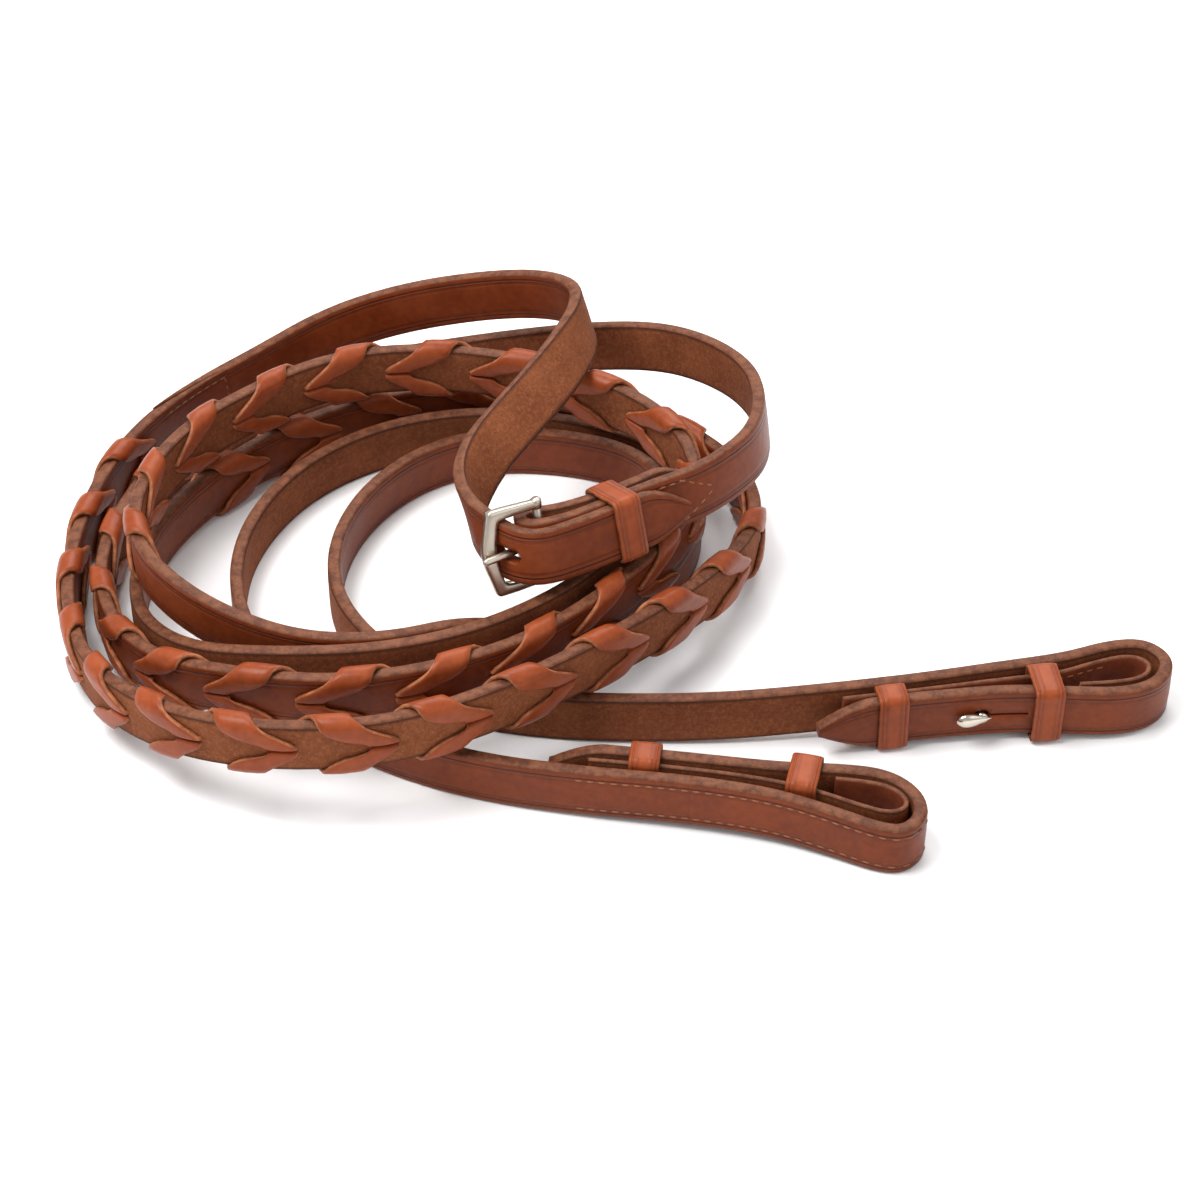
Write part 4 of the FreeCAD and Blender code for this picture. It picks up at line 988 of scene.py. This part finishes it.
def buckle(looks):
    """Cast frame with a bowed front bar on a round hinge bar, and its wire tongue."""
    matrix = buckle_matrix()
    outer = [(0, -12.4), (5, -12.6), (10, -12.8), (14.0, -12.8), (15.1, -12.3), (15.6, -11.0),
             (16.5, -7.5), (17.5, -3.8)]
    inner = [(0, -9.9), (5, -9.8), (9, -9.7), (11.3, -9.5), (12.2, -9.0), (12.6, -8),
             (13.1, -5.5), (13.6, -2.8)]
    frame = bow("buckle_frame_look", matrix, outer, inner, (18.0, 13.7), looks)
    pin = [(1.0, -12.9), (1.3, -12.6), (1.3, 12.6), (1.0, 12.9)]
    bar = lathe("hinge_bar_look", along_y(matrix), pin, looks["steel"], 24)
    bosses = []
    for side, place in (("low", -11.2), ("high", 11.2)):
        boss = along_y(matrix @ Matrix.Translation((0, place, 0)))
        profile = [(1.3, -1.45), (1.55, -1.15), (1.6, 0.0), (1.55, 1.15), (1.3, 1.45)]
        bosses.append(lathe(f"hinge_boss_{side}_look", boss, profile, looks["steel"], 24))
    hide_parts("buckle_frame")
    for obj in (frame, bar, *bosses):
        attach(obj, "buckle_frame")
    eye = [(1.38, -1.2), (1.6, -1.5), (2.3, -1.45), (2.65, -1.0), (2.7, 0.0), (2.65, 1.0),
           (2.3, 1.45), (1.6, 1.5), (1.38, 1.2)]
    ring = lathe("tongue_eye_look", along_y(matrix), eye, looks["steel"], 28, closed=True)
    turn = Matrix.Rotation(math.radians(90 + TONGUE_LEAN), 4, "Y")
    finger = [(1.1, 1.9), (1.12, 6.0), (1.15, 12.0), (1.12, 16.0), (1.05, 18.4), (0.85, 19.3),
              (0.45, 19.7), (0.1, 19.8)]
    wire = lathe("tongue_finger_look", matrix @ turn, finger, looks["steel"], 24)
    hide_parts("buckle_tongue")
    for obj in (ring, wire):
        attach(obj, "buckle_tongue")


def stud_matrix(half):
    """X along the billet to its tip and Z out of its face, from the middle of the billet."""
    here, forward, _, left = half.route.frame(half.stud)
    out = left * half.outward
    turn = Matrix((forward, out.cross(forward), out)).transposed().to_4x4()
    return Matrix.Translation(here) @ turn


def hook_stud(half, looks):
    """The hook stud: a round flange and shank under a drop-shaped head, over its washer."""
    matrix = stud_matrix(half)
    back = stud_in_liner(half)[1] + LINER_HALF_THICK + STUD_PLAY
    shank = [(2.7, -back - 0.8), (3.0, -back - 0.65), (3.0, -back - 0.15), (2.7, -back),
             (1.5, -back), (1.5, HALF_THICK + 0.6), (1.7, HALF_THICK + 1.6)]
    foot = lathe(half.name("stud_shank_look"), matrix, shank, looks["stud"], 28)
    rings, travel = [], []
    count, steps = 20, 24
    heel, long, wide, thick, thin_end = -2.6, 10.0, 2.3, 1.5, 0.04
    round_turns = [2 * math.pi * j / count for j in range(count)]
    for step in range(steps + 1):
        share = (1 - math.cos(step / steps * math.pi)) / 2
        girth = max(math.sin(math.pi * share ** 1.7), 0.0) ** 0.55
        girth = max(girth, thin_end) if 0 < step < steps else thin_end
        x, middle = heel + long * share, 3.75 - 0.35 * (1 - share) ** 2
        rings.append([matrix @ Vector((x, math.cos(turn) * wide * girth,
                                       middle + math.sin(turn) * thick * girth))
                      for turn in round_turns])
        travel.append(x)
    zeros = [0.0] * count
    head = loft(half.name("stud_head_look"), rings, (travel, zeros, zeros), [0] * count,
                [looks["stud"]] * 3)
    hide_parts(half.name("hook_stud"))
    for obj in (foot, head):
        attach(obj, half.body)


# ---------------------------------------------------------------- scene
def end_keepers(half, looks):
    """The two keepers of a bit end."""
    for piece in ("tip_keeper", "loop_keeper"):
        name = half.name(piece)
        way, toward_lining, turn, deep = END_KEEPERS[name]
        matrix = half.route.matrix(half.stud + way) @ Matrix.Rotation(math.radians(turn), 4, "Z")
        matrix = matrix @ Matrix.Translation((0, -half.outward * toward_lining, 0))
        keeper(name + "_look", name, matrix, deep, looks, half.body)


def colour_nodes(names, material):
    """Leave CAD pieces as they are but give them a finished material."""
    for obj in bpy.data.objects:
        if obj.type == "MESH" and obj.name.split(".")[0] in names:
            obj.data.materials.clear()
            obj.data.materials.append(material)


def make_reins(looks):
    """Every visible piece, one rein after the other and then the buckle that joins them."""
    a = Half("a", HAND_A + LACED_A + PLAIN_A + END_A, LINER_A, -1)
    b = Half("b", HAND_B + LACED_B + PLAIN_B + END_B, LINER_B, 1)
    hand_a = hand_strap(a, looks, 0.8)
    hand_b = hand_strap(b, looks, 1.5)
    fold = buckle_matrix() @ Matrix.Translation((0.5, 0, 0)) @ Matrix.Rotation(math.pi / 2, 4, "X")
    cut(hand_a, slot_cutter(fold, *TONGUE_SLOT))
    cut(hand_b, slot_cutter(b.route.matrix(b.route.nearest(TONGUE_AT)), *TONGUE_HOLE))
    for obj in (hand_a, hand_b):
        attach(obj, "reins")
    for half in (a, b):
        main_strap(half, looks)
        lace(half, looks, "upper_lace", 1)
        lace(half, looks, "lower_lace", -1)
        liner(half, looks)
        all_stitches(half, looks)
        hook_stud(half, looks)
    end_keepers(a, looks)
    end_keepers(b, looks)
    along = a.route.nearest(BUCKLE_KEEPER_AT, a.route.knot(BUCKLE_FOLD + 1))
    keeper("buckle_keeper_look", "buckle_keeper", a.route.matrix(along, 0.0, BUCKLE_KEEPER_SHIFT),
           BUCKLE_KEEPER_DEEP, looks, "reins")
    buckle_stitches(a, looks)
    buckle(looks)


def make_stage():
    """A pale floor, soft lights from above and the left, and a white surround."""
    mesh = bpy.data.meshes.new("floor")
    reach = 4.0
    corners = [(-reach, -reach, 0), (reach, -reach, 0), (reach, reach, 0), (-reach, reach, 0)]
    mesh.from_pydata(corners, [], [(0, 1, 2, 3)])
    floor = bpy.data.objects.new("floor", mesh)
    bpy.context.scene.collection.objects.link(floor)
    n = Nodes("floor_white")
    floor.data.materials.append(n.finish((0.92, 0.92, 0.92, 1), 0.6, None, 0.2))
    world = bpy.data.worlds.new("surround")
    world.use_nodes = True
    background = world.node_tree.nodes["Background"]
    background.inputs["Color"].default_value = (1, 1, 1, 1)
    background.inputs["Strength"].default_value = 0.6
    bpy.context.scene.world = world
    lights = (("key", (-0.5, -0.1, 1.05), 0.6, 15), ("fill", (0.8, -0.5, 0.8), 0.9, 2.5),
              ("back", (0.1, 0.8, 0.9), 0.8, 10))
    for name, place, size, power in lights:
        light = bpy.data.lights.new(name, "AREA")
        light.size = size
        light.energy = power
        lamp = bpy.data.objects.new(name, light)
        lamp.location = place
        lamp.rotation_euler = (-Vector(place)).to_track_quat("-Z", "Y").to_euler()
        bpy.context.scene.collection.objects.link(lamp)


def make_camera():
    """The main view, from the front and above."""
    camera = bpy.data.cameras.new("camera")
    camera.lens = 93.0
    camera.sensor_width = 36.0
    obj = bpy.data.objects.new("camera", camera)
    lift = math.radians(CAMERA_LIFT)
    target = CENTRE * MM
    obj.location = target + Vector((0, -math.cos(lift), math.sin(lift))) * CAMERA_AWAY
    obj.rotation_euler = (target - obj.location).to_track_quat("-Z", "Y").to_euler()
    bpy.context.scene.collection.objects.link(obj)
    bpy.context.scene.camera = obj
    bpy.context.scene.view_settings.view_transform = "Standard"


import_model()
all_looks = make_materials()
make_camera()
make_reins(all_looks)
colour_nodes(("hook_washer_a", "hook_washer_b"), all_looks["steel"])
make_stage()
